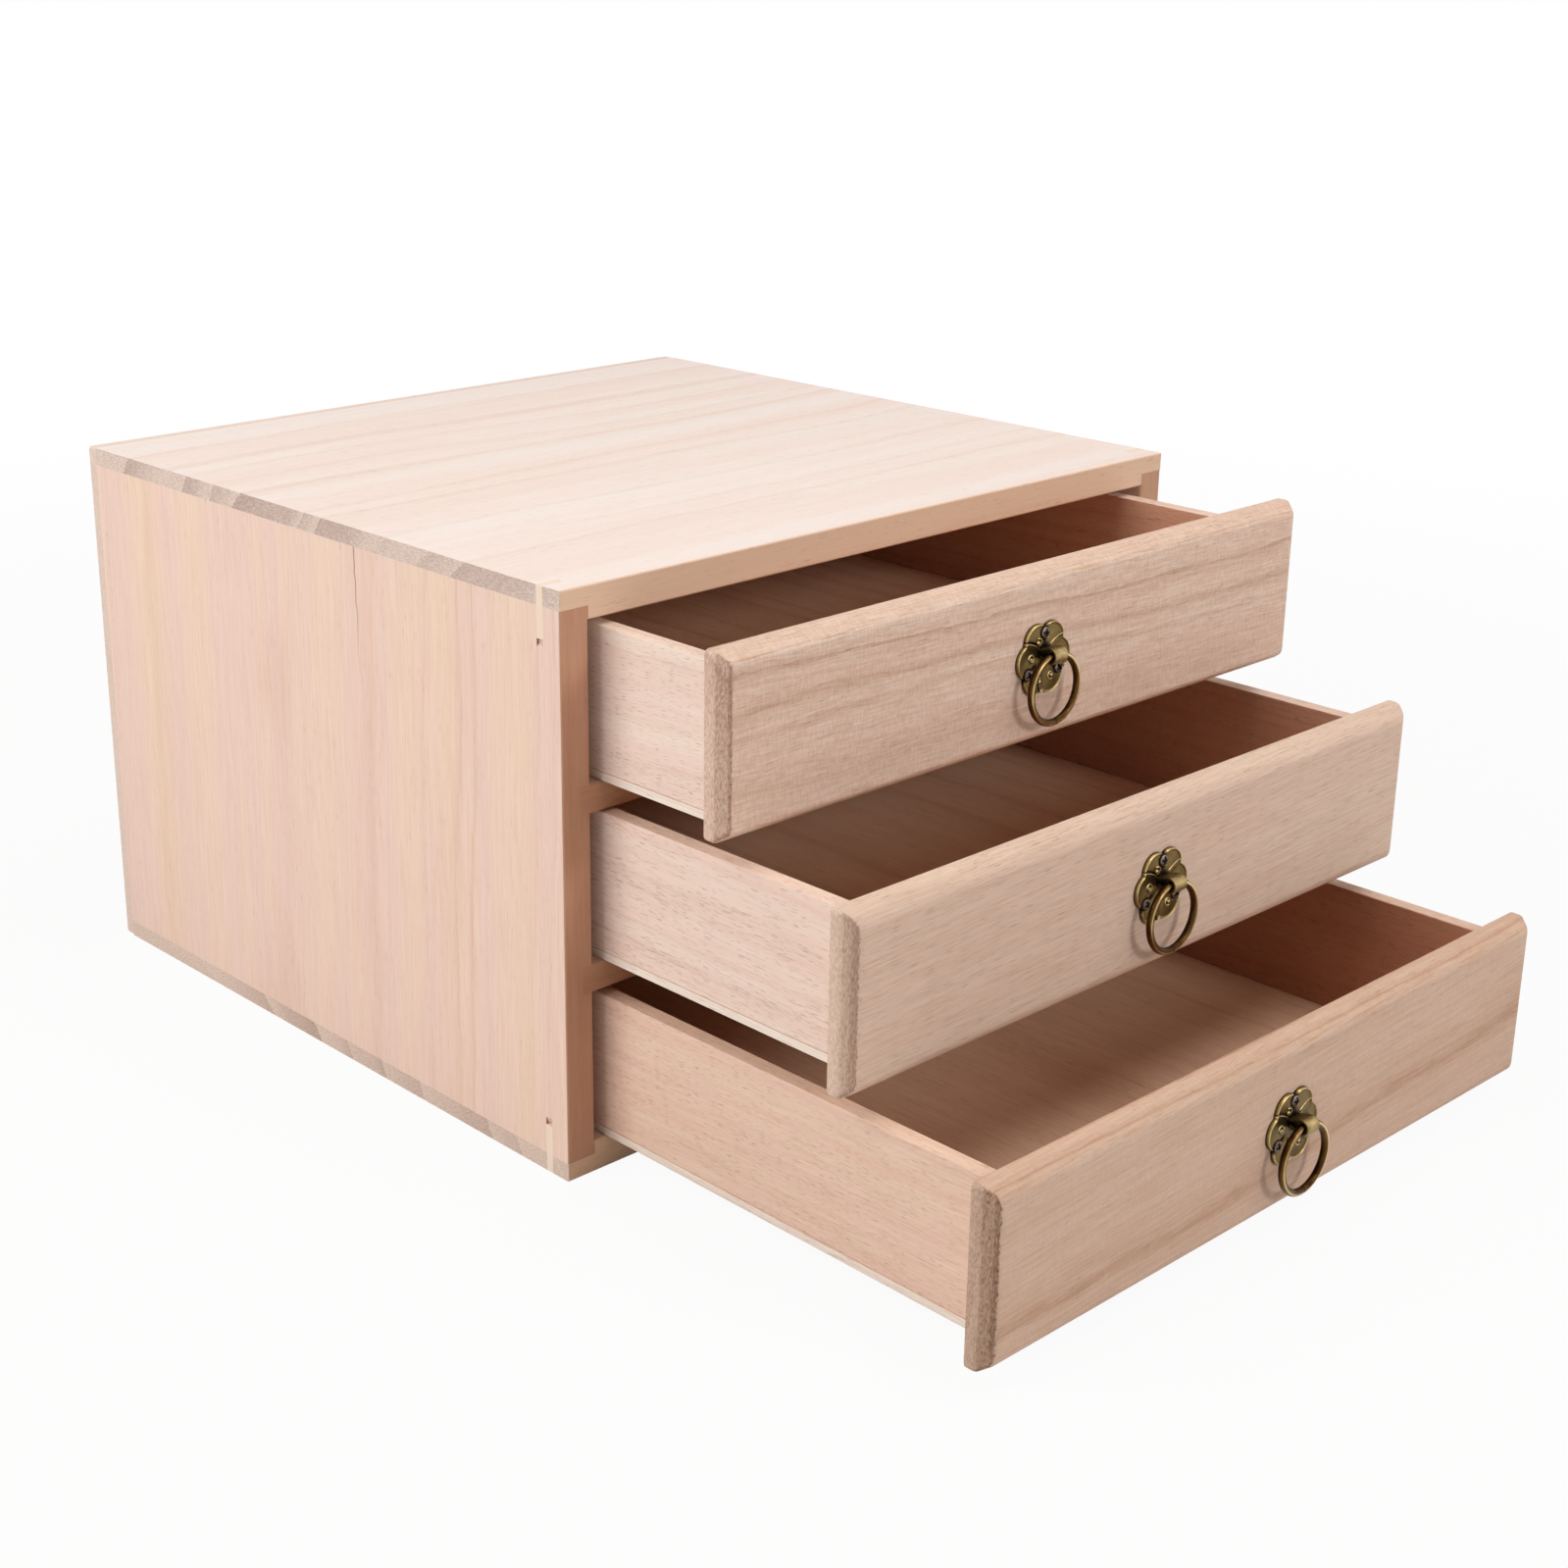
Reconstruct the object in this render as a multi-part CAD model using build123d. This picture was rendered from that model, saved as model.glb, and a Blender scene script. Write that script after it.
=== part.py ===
from build123d import *

import os
from math import asin, atan2, cos, degrees, hypot, radians, sin, sqrt

# Every length is in millimetres. X runs to the right, Y to the back and Z up.
# The origin is the middle of the case's underside.

# The case
case_width = 320.0
board_depth = 299.0
end_board = 12.0
side_board = 12.3
shelf_board = 10.35
back_panel_thickness = 5.0
edge_break = 0.4
mouth_break = 0.6

# Heights of the three openings, from the bottom up
lower_opening = 58.3
middle_opening = 56.2
upper_opening = 58.3

# Joints between the boards
rebate_lip = 7.0
shelf_housing = 4.6

# Pale keys let into the front corners, and the kerfs that hold them
key_thickness = 3.3
key_setback = 10.5
key_length = 18.5
kerf_length = 21.5
kerf_width = 9.3

# Pins that hold the back panel
pin_diameter = 1.6
pin_head_diameter = 2.8
pin_head_thickness = 0.8
pin_length = 16.0
pin_edge_distance = 6.0
pins_per_row = 4
pins_per_column = 2

# Drawer fronts, which lap over the face of the case
front_thickness = 9.5
front_side_margin = 6.2
front_clearance = 0.3
bevel_depth = 5.2
bevel_width = 3.4
side_housing = 3.0

# How far each front hangs below its opening and rises above it
upper_drop = 0.7
upper_rise = 5.2
middle_drop = 3.5
middle_rise = 4.5
lower_drop = 4.3
lower_rise = 1.6

# Drawer boxes
box_side_clearance = 5.5
box_head_clearance = 0.9
running_clearance = 0.3
box_side_board = 6.5
box_back_board = 6.5
box_bottom_panel = 3.0
box_back_gap = 4.0

# How far each drawer stands open
upper_draw_length = 62.5
middle_draw_length = 119.5
lower_draw_length = 180.0

# Pull plates, each a rosette of lobes
plate_radius = 14.2
plate_notch_radius = 12.0
plate_lobes = 6
plate_thickness = 1.0
plate_rim_width = 1.3
plate_rim_height = 0.6
plate_boss_radius = 3.6

# Screws through each plate
screw_circle = 9.5
screw_head_diameter = 4.3
screw_head_height = 1.4
screw_shank_diameter = 2.0
screw_length = 7.0
screw_clearance = 0.15
screw_slot_width = 0.6
screw_slot_length = 2.6
screw_slot_depth = 0.6

# Ring and the strap that it swings in
ring_mean_radius = 12.5
ring_wire_diameter = 2.7
ring_clearance = 0.25
strap_length = 6.5
strap_wall = 1.1
strap_leg_gap = 0.6
strap_rise = 2.4
ring_stand_off = 6.5

# Sizes that follow from the ones above
lower_floor = end_board
middle_floor = lower_floor + lower_opening + shelf_board
upper_floor = middle_floor + middle_opening + shelf_board
case_height = upper_floor + upper_opening + end_board
case_depth = board_depth + back_panel_thickness
case_front = -case_depth / 2
board_back = case_front + board_depth
opening_width = case_width - 2 * side_board
shelf_reach = opening_width / 2 + shelf_housing
box_width = opening_width - 2 * box_side_clearance
box_height = min(lower_opening, middle_opening, upper_opening) - box_head_clearance - running_clearance
box_length = board_depth - box_back_gap + front_clearance
front_width = case_width - 2 * front_side_margin
plate_top = plate_thickness + plate_rim_height
wire_radius = ring_wire_diameter / 2
wire_sag = ring_mean_radius - sqrt(ring_mean_radius**2 - (strap_length / 2) ** 2)
tunnel_radius = wire_radius + wire_sag / 2 + ring_clearance


def block(x0, x1, y0, y1, z0, z1):
    """A box between two corners."""
    return Pos((x0 + x1) / 2, (y0 + y1) / 2, (z0 + z1) / 2) * Box(x1 - x0, y1 - y0, z1 - z0)


def rod(x, z, diameter, y0, y1):
    """A round bar along Y between two depths."""
    return Pos(x, (y0 + y1) / 2, z) * Rot(90, 0, 0) * Cylinder(diameter / 2, y1 - y0)


def mirror_x(shape):
    """The same shape on the other side of the middle."""
    return mirror(shape, about=Plane.YZ)


def kerf_profile(side, top):
    """The triangle of a corner kerf in the XZ plane, for one corner of the case."""
    x = side * case_width / 2
    z = case_height if top else 0
    down = -kerf_length if top else kerf_length
    points = [(x, z), (x, z + down), (x - side * kerf_width, z)]
    return make_face(Polyline([Vector(px, 0, pz) for px, pz in points], close=True))


def kerf(side, top):
    """One corner kerf, cut square to the face of the case."""
    middle = case_front + key_setback
    face = Pos(0, middle + key_thickness / 2, 0) * kerf_profile(side, top)
    return extrude(face, amount=key_thickness, dir=(0, -1, 0))


def corner_key(side, top):
    """The key in a kerf, which stops short of the kerf's thin end."""
    z0 = case_height - key_length if top else 0
    z1 = case_height if top else key_length
    return kerf(side, top) & block(-case_width, case_width, case_front, board_back, z0, z1)


corners = [(side, top) for side in (-1, 1) for top in (False, True)]
kerfs = [kerf(side, top) for side, top in corners]


def cut_kerfs(board):
    """A board with the corner kerfs taken out of it."""
    for cutter in kerfs:
        board = board - cutter
    return board


def pin_places():
    """The places of the pins round the edge of the back panel."""
    half = case_width / 2 - pin_edge_distance
    low, high = pin_edge_distance, case_height - pin_edge_distance
    places = []
    for i in range(pins_per_row):
        x = -half + 2 * half * i / (pins_per_row - 1)
        places += [(x, low), (x, high)]
    for j in range(pins_per_column):
        z = low + (high - low) * (j + 1) / (pins_per_column + 1)
        places += [(-half, z), (half, z)]
    return places


def back_pin(x, z):
    """One pin, with its head let in flush with the back panel."""
    back = case_depth / 2
    head = rod(x, z, pin_head_diameter, back - pin_head_thickness, back)
    return head + rod(x, z, pin_diameter, back - pin_length, back - pin_head_thickness)


pins = [back_pin(x, z) for x, z in pin_places()]


def cut_pins(board):
    """A board with the pins' holes in it."""
    for pin in pins:
        board = board - pin
    return board


def opening_mouth(floor, opening):
    """The slope sanded round the front of one opening."""
    plane = Plane(origin=(0, case_front, floor + opening / 2), x_dir=(1, 0, 0), z_dir=(0, 1, 0))
    outline = plane * Rectangle(opening_width + 2 * mouth_break, opening + 2 * mouth_break)
    return extrude(outline, amount=mouth_break, taper=45)


mouths = [
    opening_mouth(lower_floor, lower_opening),
    opening_mouth(middle_floor, middle_opening),
    opening_mouth(upper_floor, upper_opening),
]


def cut_mouths(board):
    """A board with the slopes round the openings taken off it."""
    for cutter in mouths:
        board = board - cutter
    return board


def end_board_at(z0, z1, lip_z0, lip_z1):
    """The top or bottom board: full thickness between the sides, a thin lip over their ends."""
    half = case_width / 2
    core = block(-half + side_board, half - side_board, case_front, board_back, z0, z1)
    lips = block(-half, half, case_front, board_back, lip_z0, lip_z1)
    board = core + lips
    front_edges = board.edges().filter_by(Axis.X).group_by(Axis.Y)[0].sort_by(Axis.Z)
    outer_edge = front_edges[0] if lip_z0 == z0 else front_edges[-1]
    return cut_mouths(cut_pins(cut_kerfs(chamfer(outer_edge, edge_break))))


def top_board():
    """The top of the case."""
    return end_board_at(case_height - end_board, case_height, case_height - rebate_lip, case_height)


def bottom_board():
    """The bottom of the case."""
    return end_board_at(0, end_board, 0, rebate_lip)


def shelf(z0):
    """One shelf, let into the sides at both ends."""
    board = block(-shelf_reach, shelf_reach, case_front, board_back, z0, z0 + shelf_board)
    return cut_mouths(cut_pins(board))


def left_side():
    """The left side of the case, with a housing for each shelf."""
    half = case_width / 2
    side = block(-half, -half + side_board, case_front, board_back, rebate_lip, case_height - rebate_lip)
    outer_edge = side.edges().filter_by(Axis.Z).group_by(Axis.Y)[0].sort_by(Axis.X)[0]
    side = chamfer(outer_edge, edge_break)
    for z0 in (middle_floor - shelf_board, upper_floor - shelf_board):
        side = side - block(-shelf_reach, 0, case_front, board_back, z0, z0 + shelf_board)
    return cut_mouths(cut_pins(cut_kerfs(side)))


def back_panel():
    """The thin panel over the back of all the boards."""
    half = case_width / 2
    panel = block(-half, half, board_back, case_depth / 2, 0, case_height)
    corners_up = panel.edges().filter_by(Axis.Y)
    return cut_pins(chamfer(corners_up, edge_break * 2))


def front_panel(z0, z1, back_y, screws):
    """A drawer front, bevelled round its face and housed for the sides of its box."""
    height = z1 - z0
    plane = Plane(origin=(0, back_y, (z0 + z1) / 2), x_dir=(1, 0, 0), z_dir=(0, -1, 0))
    outline = plane * Rectangle(front_width, height)
    slab = extrude(outline, amount=front_thickness - bevel_depth)
    shoulder = plane.offset(front_thickness - bevel_depth) * Rectangle(front_width, height)
    bevelled = extrude(shoulder, amount=bevel_depth, taper=degrees(atan2(bevel_width, bevel_depth)))
    panel = slab + bevelled
    for screw in screws:
        panel = panel - screw
    return panel


def box_side(side, z0, front_y):
    """One side of a drawer box, standing in its housing in the front."""
    inner = box_width / 2 - box_side_board
    x0, x1 = sorted((side * inner, side * box_width / 2))
    y0, y1 = front_y - side_housing, front_y + box_length
    return block(x0, x1, y0, y1, z0 + box_bottom_panel, z0 + box_height)


def box_back(z0, front_y):
    """The back of a drawer box, between its sides."""
    inner = box_width / 2 - box_side_board
    y1 = front_y + box_length
    return block(-inner, inner, y1 - box_back_board, y1, z0 + box_bottom_panel, z0 + box_height)


def box_bottom(z0, front_y):
    """The thin bottom, under the sides and the back."""
    half = box_width / 2
    return block(-half, half, front_y, front_y + box_length, z0, z0 + box_bottom_panel)


def rosette(scale):
    """The plate's outline on its own plane: arcs between notches, drawn in by a scale."""
    notch, tip = plate_notch_radius * scale, plate_radius * scale
    step = 360 / plate_lobes
    arcs = []
    for i in range(plate_lobes):
        start, middle, end = (radians(90 + step * (i + k)) for k in (0, 0.5, 1))
        arcs.append(ThreePointArc(
            (notch * cos(start), notch * sin(start)),
            (tip * cos(middle), tip * sin(middle)),
            (notch * cos(end), notch * sin(end)),
        ))
    return make_face(Wire([arc.edge() for arc in arcs]))


def screw_places(z_mid):
    """The three screws, one above the middle and two below it."""
    places = []
    for angle in (90, 210, 330):
        places.append((screw_circle * cos(radians(angle)), z_mid + screw_circle * sin(radians(angle))))
    return places


def pull_plate(z_mid, face_y):
    """A lobed plate with a raised rim and a boss under the strap, drilled for its screws."""
    plane = Plane(origin=(0, face_y, z_mid), x_dir=(1, 0, 0), z_dir=(0, -1, 0))
    floor_plane = plane.offset(plate_thickness)
    sheet = extrude(plane * rosette(1.0), amount=plate_top)
    hollow = extrude(floor_plane * rosette(1 - plate_rim_width / plate_radius), amount=plate_top)
    boss = extrude(floor_plane * Pos(0, strap_rise) * Circle(plate_boss_radius), amount=plate_rim_height)
    plate = sheet - hollow + boss
    hole_diameter = screw_shank_diameter + 2 * screw_clearance
    seat_diameter = screw_head_diameter + 2 * screw_clearance
    for x, z in screw_places(z_mid):
        plate = plate - rod(x, z, hole_diameter, face_y - plate_top, face_y)
        plate = plate - rod(x, z, seat_diameter, face_y - plate_top, face_y - plate_thickness)
    return plate


def screw(x, z, face_y):
    """One dome-headed screw with a cross cut in its head."""
    seat = face_y - plate_thickness
    shank = rod(x, z, screw_shank_diameter, seat, seat + screw_length)
    head = rod(x, z, screw_head_diameter, seat - screw_head_height, seat)
    rim = head.edges().filter_by(GeomType.CIRCLE).sort_by(Axis.Y)[0]
    head = fillet(rim, screw_head_height * 0.7)
    slot_y = seat - screw_head_height
    cross = Pos(x, slot_y + screw_slot_depth / 2, z)
    upright = cross * Box(screw_slot_width, screw_slot_depth, screw_slot_length)
    level = cross * Box(screw_slot_length, screw_slot_depth, screw_slot_width)
    return head - upright - level + shank


def strap(z_axis, face_y):
    """The band that the ring swings in: rolled round the wire, its two legs drawn together at the boss."""
    outer_radius = tunnel_radius + strap_wall
    reach = ring_stand_off - plate_top
    gap = strap_leg_gap / 2
    slope = asin(tunnel_radius / hypot(reach, gap)) - atan2(gap, reach)
    plane = Plane(origin=(-strap_length / 2, face_y - ring_stand_off, z_axis), x_dir=(0, 1, 0), z_dir=(1, 0, 0))
    profile = rolled_band(outer_radius, reach, gap + strap_wall / cos(slope), slope)
    profile = profile - rolled_band(tunnel_radius, reach, gap, slope)
    return extrude(plane * profile, amount=strap_length)


def rolled_band(radius, reach, foot_half, slope):
    """A circle run out to a narrow foot by two straight lines that touch it."""
    touch = (radius * sin(slope), radius * cos(slope))
    corners = [touch, (reach, foot_half), (reach, -foot_half), (touch[0], -touch[1])]
    return Circle(radius) + make_face(Polyline([Vector(*corner) for corner in corners], close=True))


def ring(z_axis, face_y):
    """The wire ring, hanging with the middle of its top arc on the strap's axis."""
    centre_z = z_axis + wire_sag / 2 - ring_mean_radius
    return Pos(0, face_y - ring_stand_off, centre_z) * Rot(90, 0, 0) * Torus(ring_mean_radius, wire_radius)


def drawer(name, floor, opening, drop, rise, opened):
    """All the pieces of one drawer, pulled out as far as it stands open."""
    z0 = floor + running_clearance
    back_y = case_front - front_clearance - opened
    face_y = back_y - front_thickness
    low, high = floor - drop, floor + opening + rise
    z_mid = (low + high) / 2
    z_axis = z_mid + strap_rise
    screws = [screw(x, z, face_y) for x, z in screw_places(z_mid)]
    sides = {"left": box_side(-1, z0, back_y), "right": box_side(1, z0, back_y)}
    front = front_panel(low, high, back_y, screws)
    for side in sides.values():
        front = front - side
    return {
        f"{name}_drawer_front": front,
        f"{name}_drawer_left_side": sides["left"],
        f"{name}_drawer_right_side": sides["right"],
        f"{name}_drawer_back": box_back(z0, back_y),
        f"{name}_drawer_bottom": box_bottom(z0, back_y),
        f"{name}_pull_plate": pull_plate(z_mid, face_y),
        f"{name}_pull_strap": strap(z_axis, face_y),
        f"{name}_pull_ring": ring(z_axis, face_y),
        f"{name}_pull_screws": Compound(screws),
    }


left = left_side()
nodes = {
    "top_board": top_board(),
    "bottom_board": bottom_board(),
    "left_side": left,
    "right_side": mirror_x(left),
    "upper_shelf": shelf(upper_floor - shelf_board),
    "lower_shelf": shelf(middle_floor - shelf_board),
    "back_panel": back_panel(),
    "back_panel_pins": Compound(pins),
    "corner_keys": Compound([corner_key(side, top) for side, top in corners]),
}
nodes.update(drawer("upper", upper_floor, upper_opening, upper_drop, upper_rise, upper_draw_length))
nodes.update(drawer("middle", middle_floor, middle_opening, middle_drop, middle_rise, middle_draw_length))
nodes.update(drawer("lower", lower_floor, lower_opening, lower_drop, lower_rise, lower_draw_length))

os.makedirs("parts", exist_ok=True)
for node, shape in nodes.items():
    export_step(shape, f"parts/{node}.step")
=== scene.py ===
"""The looks of a paulownia tea box: a plain case, three bevelled drawers and their brass ring pulls."""
import logging
from dataclasses import dataclass, field, replace
from enum import Enum
from math import asin, atan2, cos, hypot, pi, radians, sin

import bpy
import numpy as np
from mathutils import Matrix, Vector


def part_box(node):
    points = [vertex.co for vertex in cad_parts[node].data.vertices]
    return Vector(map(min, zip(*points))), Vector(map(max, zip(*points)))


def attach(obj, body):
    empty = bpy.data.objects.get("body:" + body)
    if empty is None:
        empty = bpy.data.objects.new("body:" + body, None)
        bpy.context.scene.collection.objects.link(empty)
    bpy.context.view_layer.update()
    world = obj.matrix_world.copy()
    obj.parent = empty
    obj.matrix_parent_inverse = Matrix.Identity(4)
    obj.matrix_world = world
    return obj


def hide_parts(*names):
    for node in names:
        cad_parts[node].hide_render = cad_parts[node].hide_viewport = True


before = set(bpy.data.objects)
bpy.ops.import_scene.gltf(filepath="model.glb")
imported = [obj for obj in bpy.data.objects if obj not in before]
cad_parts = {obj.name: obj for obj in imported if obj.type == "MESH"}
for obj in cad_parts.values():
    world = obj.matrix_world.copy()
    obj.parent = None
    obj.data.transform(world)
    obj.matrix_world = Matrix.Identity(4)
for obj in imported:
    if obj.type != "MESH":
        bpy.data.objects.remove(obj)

MM = 0.001
# The mesh attribute for rubbing; on the ring and the strap it also carries painted highlights.
RUB = "rub"
LOG = logging.getLogger("tea_box")
Tree = bpy.types.NodeTree
Socket = bpy.types.NodeSocket
Triple = tuple[float, float, float]


def linear(hex_colour: str) -> tuple[float, float, float, float]:
    """The linear colour of an sRGB hex value, by the standard's curve.

    Args:
        hex_colour: A value such as "#E8D2BE".

    Returns:
        Red, green, blue and an alpha of 1.
    """
    parts = [int(hex_colour[i:i + 2], 16) / 255 for i in (1, 3, 5)]
    red, green, blue = (p / 12.92 if p <= 0.04045 else ((p + 0.055) / 1.055) ** 2.4 for p in parts)
    return red, green, blue, 1.0


def add_node(tree: Tree, kind: str, settings: dict, inputs: dict) -> bpy.types.Node:
    """Adds a node, sets it and links it.

    Args:
        tree: The material's or world's node tree.
        kind: The node's Blender type.
        settings: Values of the node's own properties.
        inputs: For each input's name or number, a socket to link or a value to set.

    Returns:
        The new node.
    """
    node = tree.nodes.new(kind)
    for name, value in settings.items():
        setattr(node, name, value)
    for key, value in inputs.items():
        if isinstance(value, Socket):
            tree.links.new(value, node.inputs[key])
        else:
            node.inputs[key].default_value = value
    return node


def blank_material(name: str) -> tuple[bpy.types.Material, Tree]:
    """Makes a material with an empty node tree.

    Args:
        name: The material's name.

    Returns:
        The material and its tree.
    """
    material = bpy.data.materials.new(name)
    material.use_nodes = True
    material.node_tree.nodes.clear()
    return material, material.node_tree


def put_in_scene(name: str, data: bpy.types.ID) -> bpy.types.Object:
    """Makes an object of a mesh, lamp or camera, and links it to the scene.

    Args:
        name: The object's name.
        data: What it shows.

    Returns:
        The new object, at the origin.
    """
    thing = bpy.data.objects.new(name, data)
    bpy.context.scene.collection.objects.link(thing)
    return thing


class Cut(Enum):
    """How a board lies: the axes along its grain, across its face and through its thickness."""

    LID = ("X", "Y", "Z")
    SIDE = ("Z", "Y", "X")
    FRONT = ("X", "Z", "Y")
    RAIL = ("Y", "Z", "X")
    FLOOR = ("Y", "X", "Z")

    @property
    def numbers(self) -> tuple[int, ...]:
        """The three axes as positions in a vector."""
        return tuple("XYZ".index(axis) for axis in self.value)

    @property
    def vectors(self) -> tuple[tuple[float, ...], ...]:
        """The three axes as unit vectors."""
        return tuple(tuple(float(axis == name) for name in "XYZ") for axis in self.value)


@dataclass(frozen=True)
class Fissure:
    """A hairline split along the grain, in millimetres.

    It is clearest at start and has faded out at end. It lies at offset plus slope times the place along the
    grain.
    """

    start: float
    end: float
    offset: float
    slope: float
    waver: float = 1.6
    core: float = 0.1
    reach: float = 0.65
    depth: float = 0.7


@dataclass(frozen=True)
class Figure:
    """What shows on a board, as sockets that its colour and its height are made from.

    The axes are millimetres along, across and through the board, and everything else runs from 0 to 1. The
    rings are the dark line that ends each season, and the season is its own slow darkening. The ends, edges
    and slant are 1 on the end grain, on the long edges and on the flat face.
    """

    axes: tuple[Socket, ...]
    rings: Socket
    season: Socket
    fibres: Socket
    bands: Socket
    pores: Socket
    torn: Socket
    marks: Socket
    ends: Socket
    edges: Socket
    slant: Socket


@dataclass(frozen=True)
class PaulowniaFinish:
    """Sawn and lightly sanded paulownia with no oil or varnish.

    It gives the eye pale, matt boards with slightly darker growth lines, faint pinkish and straw-coloured
    bands, short dark dashes where the saw opened the pores, and greyer, rougher ends. Lengths are in
    millimetres. Real fibres and saw scratches are a tenth of a millimetre wide or less. Finer than the
    widths here they wouldn't show, so they are drawn coarser.
    """

    name: str
    cut: Cut
    pith: tuple[float, float]
    pale: str = "#E9D0BC"
    late: str = "#CFA98D"
    rosy: str = "#E6C7B4"
    edge: str = "#E0BFA6"
    edge_strength: float = 0.5
    end: str = "#DDC5B3"
    end_late: str = "#B99C8A"
    end_rings: float = 0.3
    bevel_cells: float = 0.55
    pore: str = "#8C6248"
    pit: str = "#5A3A26"
    tan: str = "#C4905F"
    ring_spacing: float = 8.5
    ring_strength: float = 0.55
    ring_fade: float = 0.14
    ring_rise: float = 0.82
    ring_least: float = 0.1
    ring_foot: float = 0.27
    raggedness: float = 1.4
    season_strength: float = 0.0
    season_swing: float = 2.2
    season_rate: float = 0.55
    wander: float = 5.0
    wander_length: float = 240.0
    lean: float = 0.0
    wave: float = 0.8
    fibre_width: float = 0.8
    fibre_length: float = 24.0
    fibre_strength: float = 0.3
    pore_width: float = 0.28
    pore_length: float = 6.0
    pore_cover: float = 0.14
    pore_strength: float = 0.3
    band_width: float = 8.0
    band_length: float = 420.0
    chatter: float = 0.0
    fissure: Fissure | None = None
    # Painted shade: the face that looks the way of inside, into a drawer, is multiplied by a darker, warmer
    # tint.
    inside: Triple | None = None
    painted_inside_shade: str = "#CDAA96"
    relief: float = 0.05
    fray: float = 0.3
    pits: float = 0.5
    crease_tan: float = 0.0
    roughness: float = 0.62
    seed: float = 0.0

    def build(self) -> bpy.types.Material:
        """Makes the material.

        Returns:
            The wood as a Blender material, read from Object coordinates.
        """
        material, tree = blank_material(self.name)
        place = add_node(tree, "ShaderNodeTexCoord", {}, {})
        figure = self._figure(tree, place)
        bump = add_node(tree, "ShaderNodeBump", {}, {
            "Strength": 1.0, "Distance": self.relief * MM, "Height": self._height(tree, figure)})
        shader = add_node(tree, "ShaderNodeBsdfPrincipled", {}, {
            "Base Color": self._colour(tree, figure, place), "Roughness": self.roughness, "IOR": 1.45,
            "Specular IOR Level": 0.3, "Normal": bump.outputs["Normal"]})
        add_node(tree, "ShaderNodeOutputMaterial", {}, {"Surface": shader.outputs["BSDF"]})
        return material

    def _figure(self, tree: Tree, place: bpy.types.Node) -> Figure:
        """Works out everything that shows on the board.

        Args:
            tree: The material's node tree.
            place: The Texture Coordinate node.

        Returns:
            The board's figure.
        """
        axes = self._grain_axes(tree, place)
        along, across, through = axes
        rings, season = self._growth_rings(tree, axes)
        torn = self._stretched_noise(
            tree, (across, through, along), length=1.3, width=0.8, detail=2.0, shift=9.0)
        long_way, wide_way, thick_way = self.cut.vectors
        return Figure(
            axes=axes, rings=rings, season=season,
            fibres=self._stretched_noise(
                tree, axes, self.fibre_length, self.fibre_width, detail=2.5, shift=1.0),
            bands=self._stretched_noise(
                tree, axes, self.band_length, self.band_width, detail=2.0, shift=2.0),
            pores=self._pores(tree, axes, rings),
            torn=torn,
            marks=self._stretched_noise(tree, axes, length=1.0, width=3.4, detail=1.0, shift=8.0),
            ends=self._facing(tree, place, long_way, torn=torn),
            edges=self._facing(tree, place, wide_way),
            slant=self._facing(tree, place, thick_way))

    def _grain_axes(self, tree: Tree, place: bpy.types.Node) -> tuple[Socket, Socket, Socket]:
        """The board's own axes: Object coordinates leaned by the grain's slope, with a gentle swell.

        Args:
            tree: The material's node tree.
            place: The Texture Coordinate node.

        Returns:
            Millimetres along, across and through the board.
        """
        scaled = add_node(tree, "ShaderNodeVectorMath", {"operation": "SCALE"}, {
            0: place.outputs["Object"], "Scale": 1 / MM})
        leaned = add_node(tree, "ShaderNodeVectorRotate", {"rotation_type": "AXIS_ANGLE"}, {
            "Vector": scaled.outputs[0], "Axis": self.cut.vectors[2], "Angle": radians(self.lean)})
        split = add_node(tree, "ShaderNodeSeparateXYZ", {}, {0: leaned.outputs[0]})
        along, straight, through = (split.outputs[i] for i in self.cut.numbers)
        swell = self._stretched_noise(
            tree, (along, straight, through), length=34.0, width=22.0, detail=1.0, shift=0.5)
        across = add_node(tree, "ShaderNodeMath", {"operation": "MULTIPLY_ADD"}, {
            0: swell, 1: 2 * self.wave, 2: straight})
        return along, across.outputs[0], through

    def _stretched_noise(self, tree: Tree, axes: tuple[Socket, ...], length: float, width: float,
                         detail: float, shift: float) -> Socket:
        """Noise drawn out along the first of three axes.

        Args:
            tree: The material's node tree.
            axes: The sockets along, across and through the noise.
            length: Its size along the first axis, in millimetres.
            width: Its size on the other two.
            detail: The number of finer layers.
            shift: A number that keeps one noise of a board apart from another.

        Returns:
            The noise, from 0 to 1.
        """
        seed_step, shift_step = 3.7, 11.3
        apart = self.seed * seed_step + shift * shift_step
        scaled = {}
        for i, (axis, size) in enumerate(zip(axes, (length, width, width))):
            scaled[i] = add_node(tree, "ShaderNodeMath", {"operation": "MULTIPLY_ADD"}, {
                0: axis, 1: 1 / size, 2: apart}).outputs[0]
        vector = add_node(tree, "ShaderNodeCombineXYZ", {}, scaled)
        noise = add_node(tree, "ShaderNodeTexNoise", {"noise_dimensions": "3D"}, {
            "Vector": vector.outputs[0], "Scale": 1.0, "Detail": detail, "Roughness": 0.55})
        return noise.outputs["Fac"]

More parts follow.
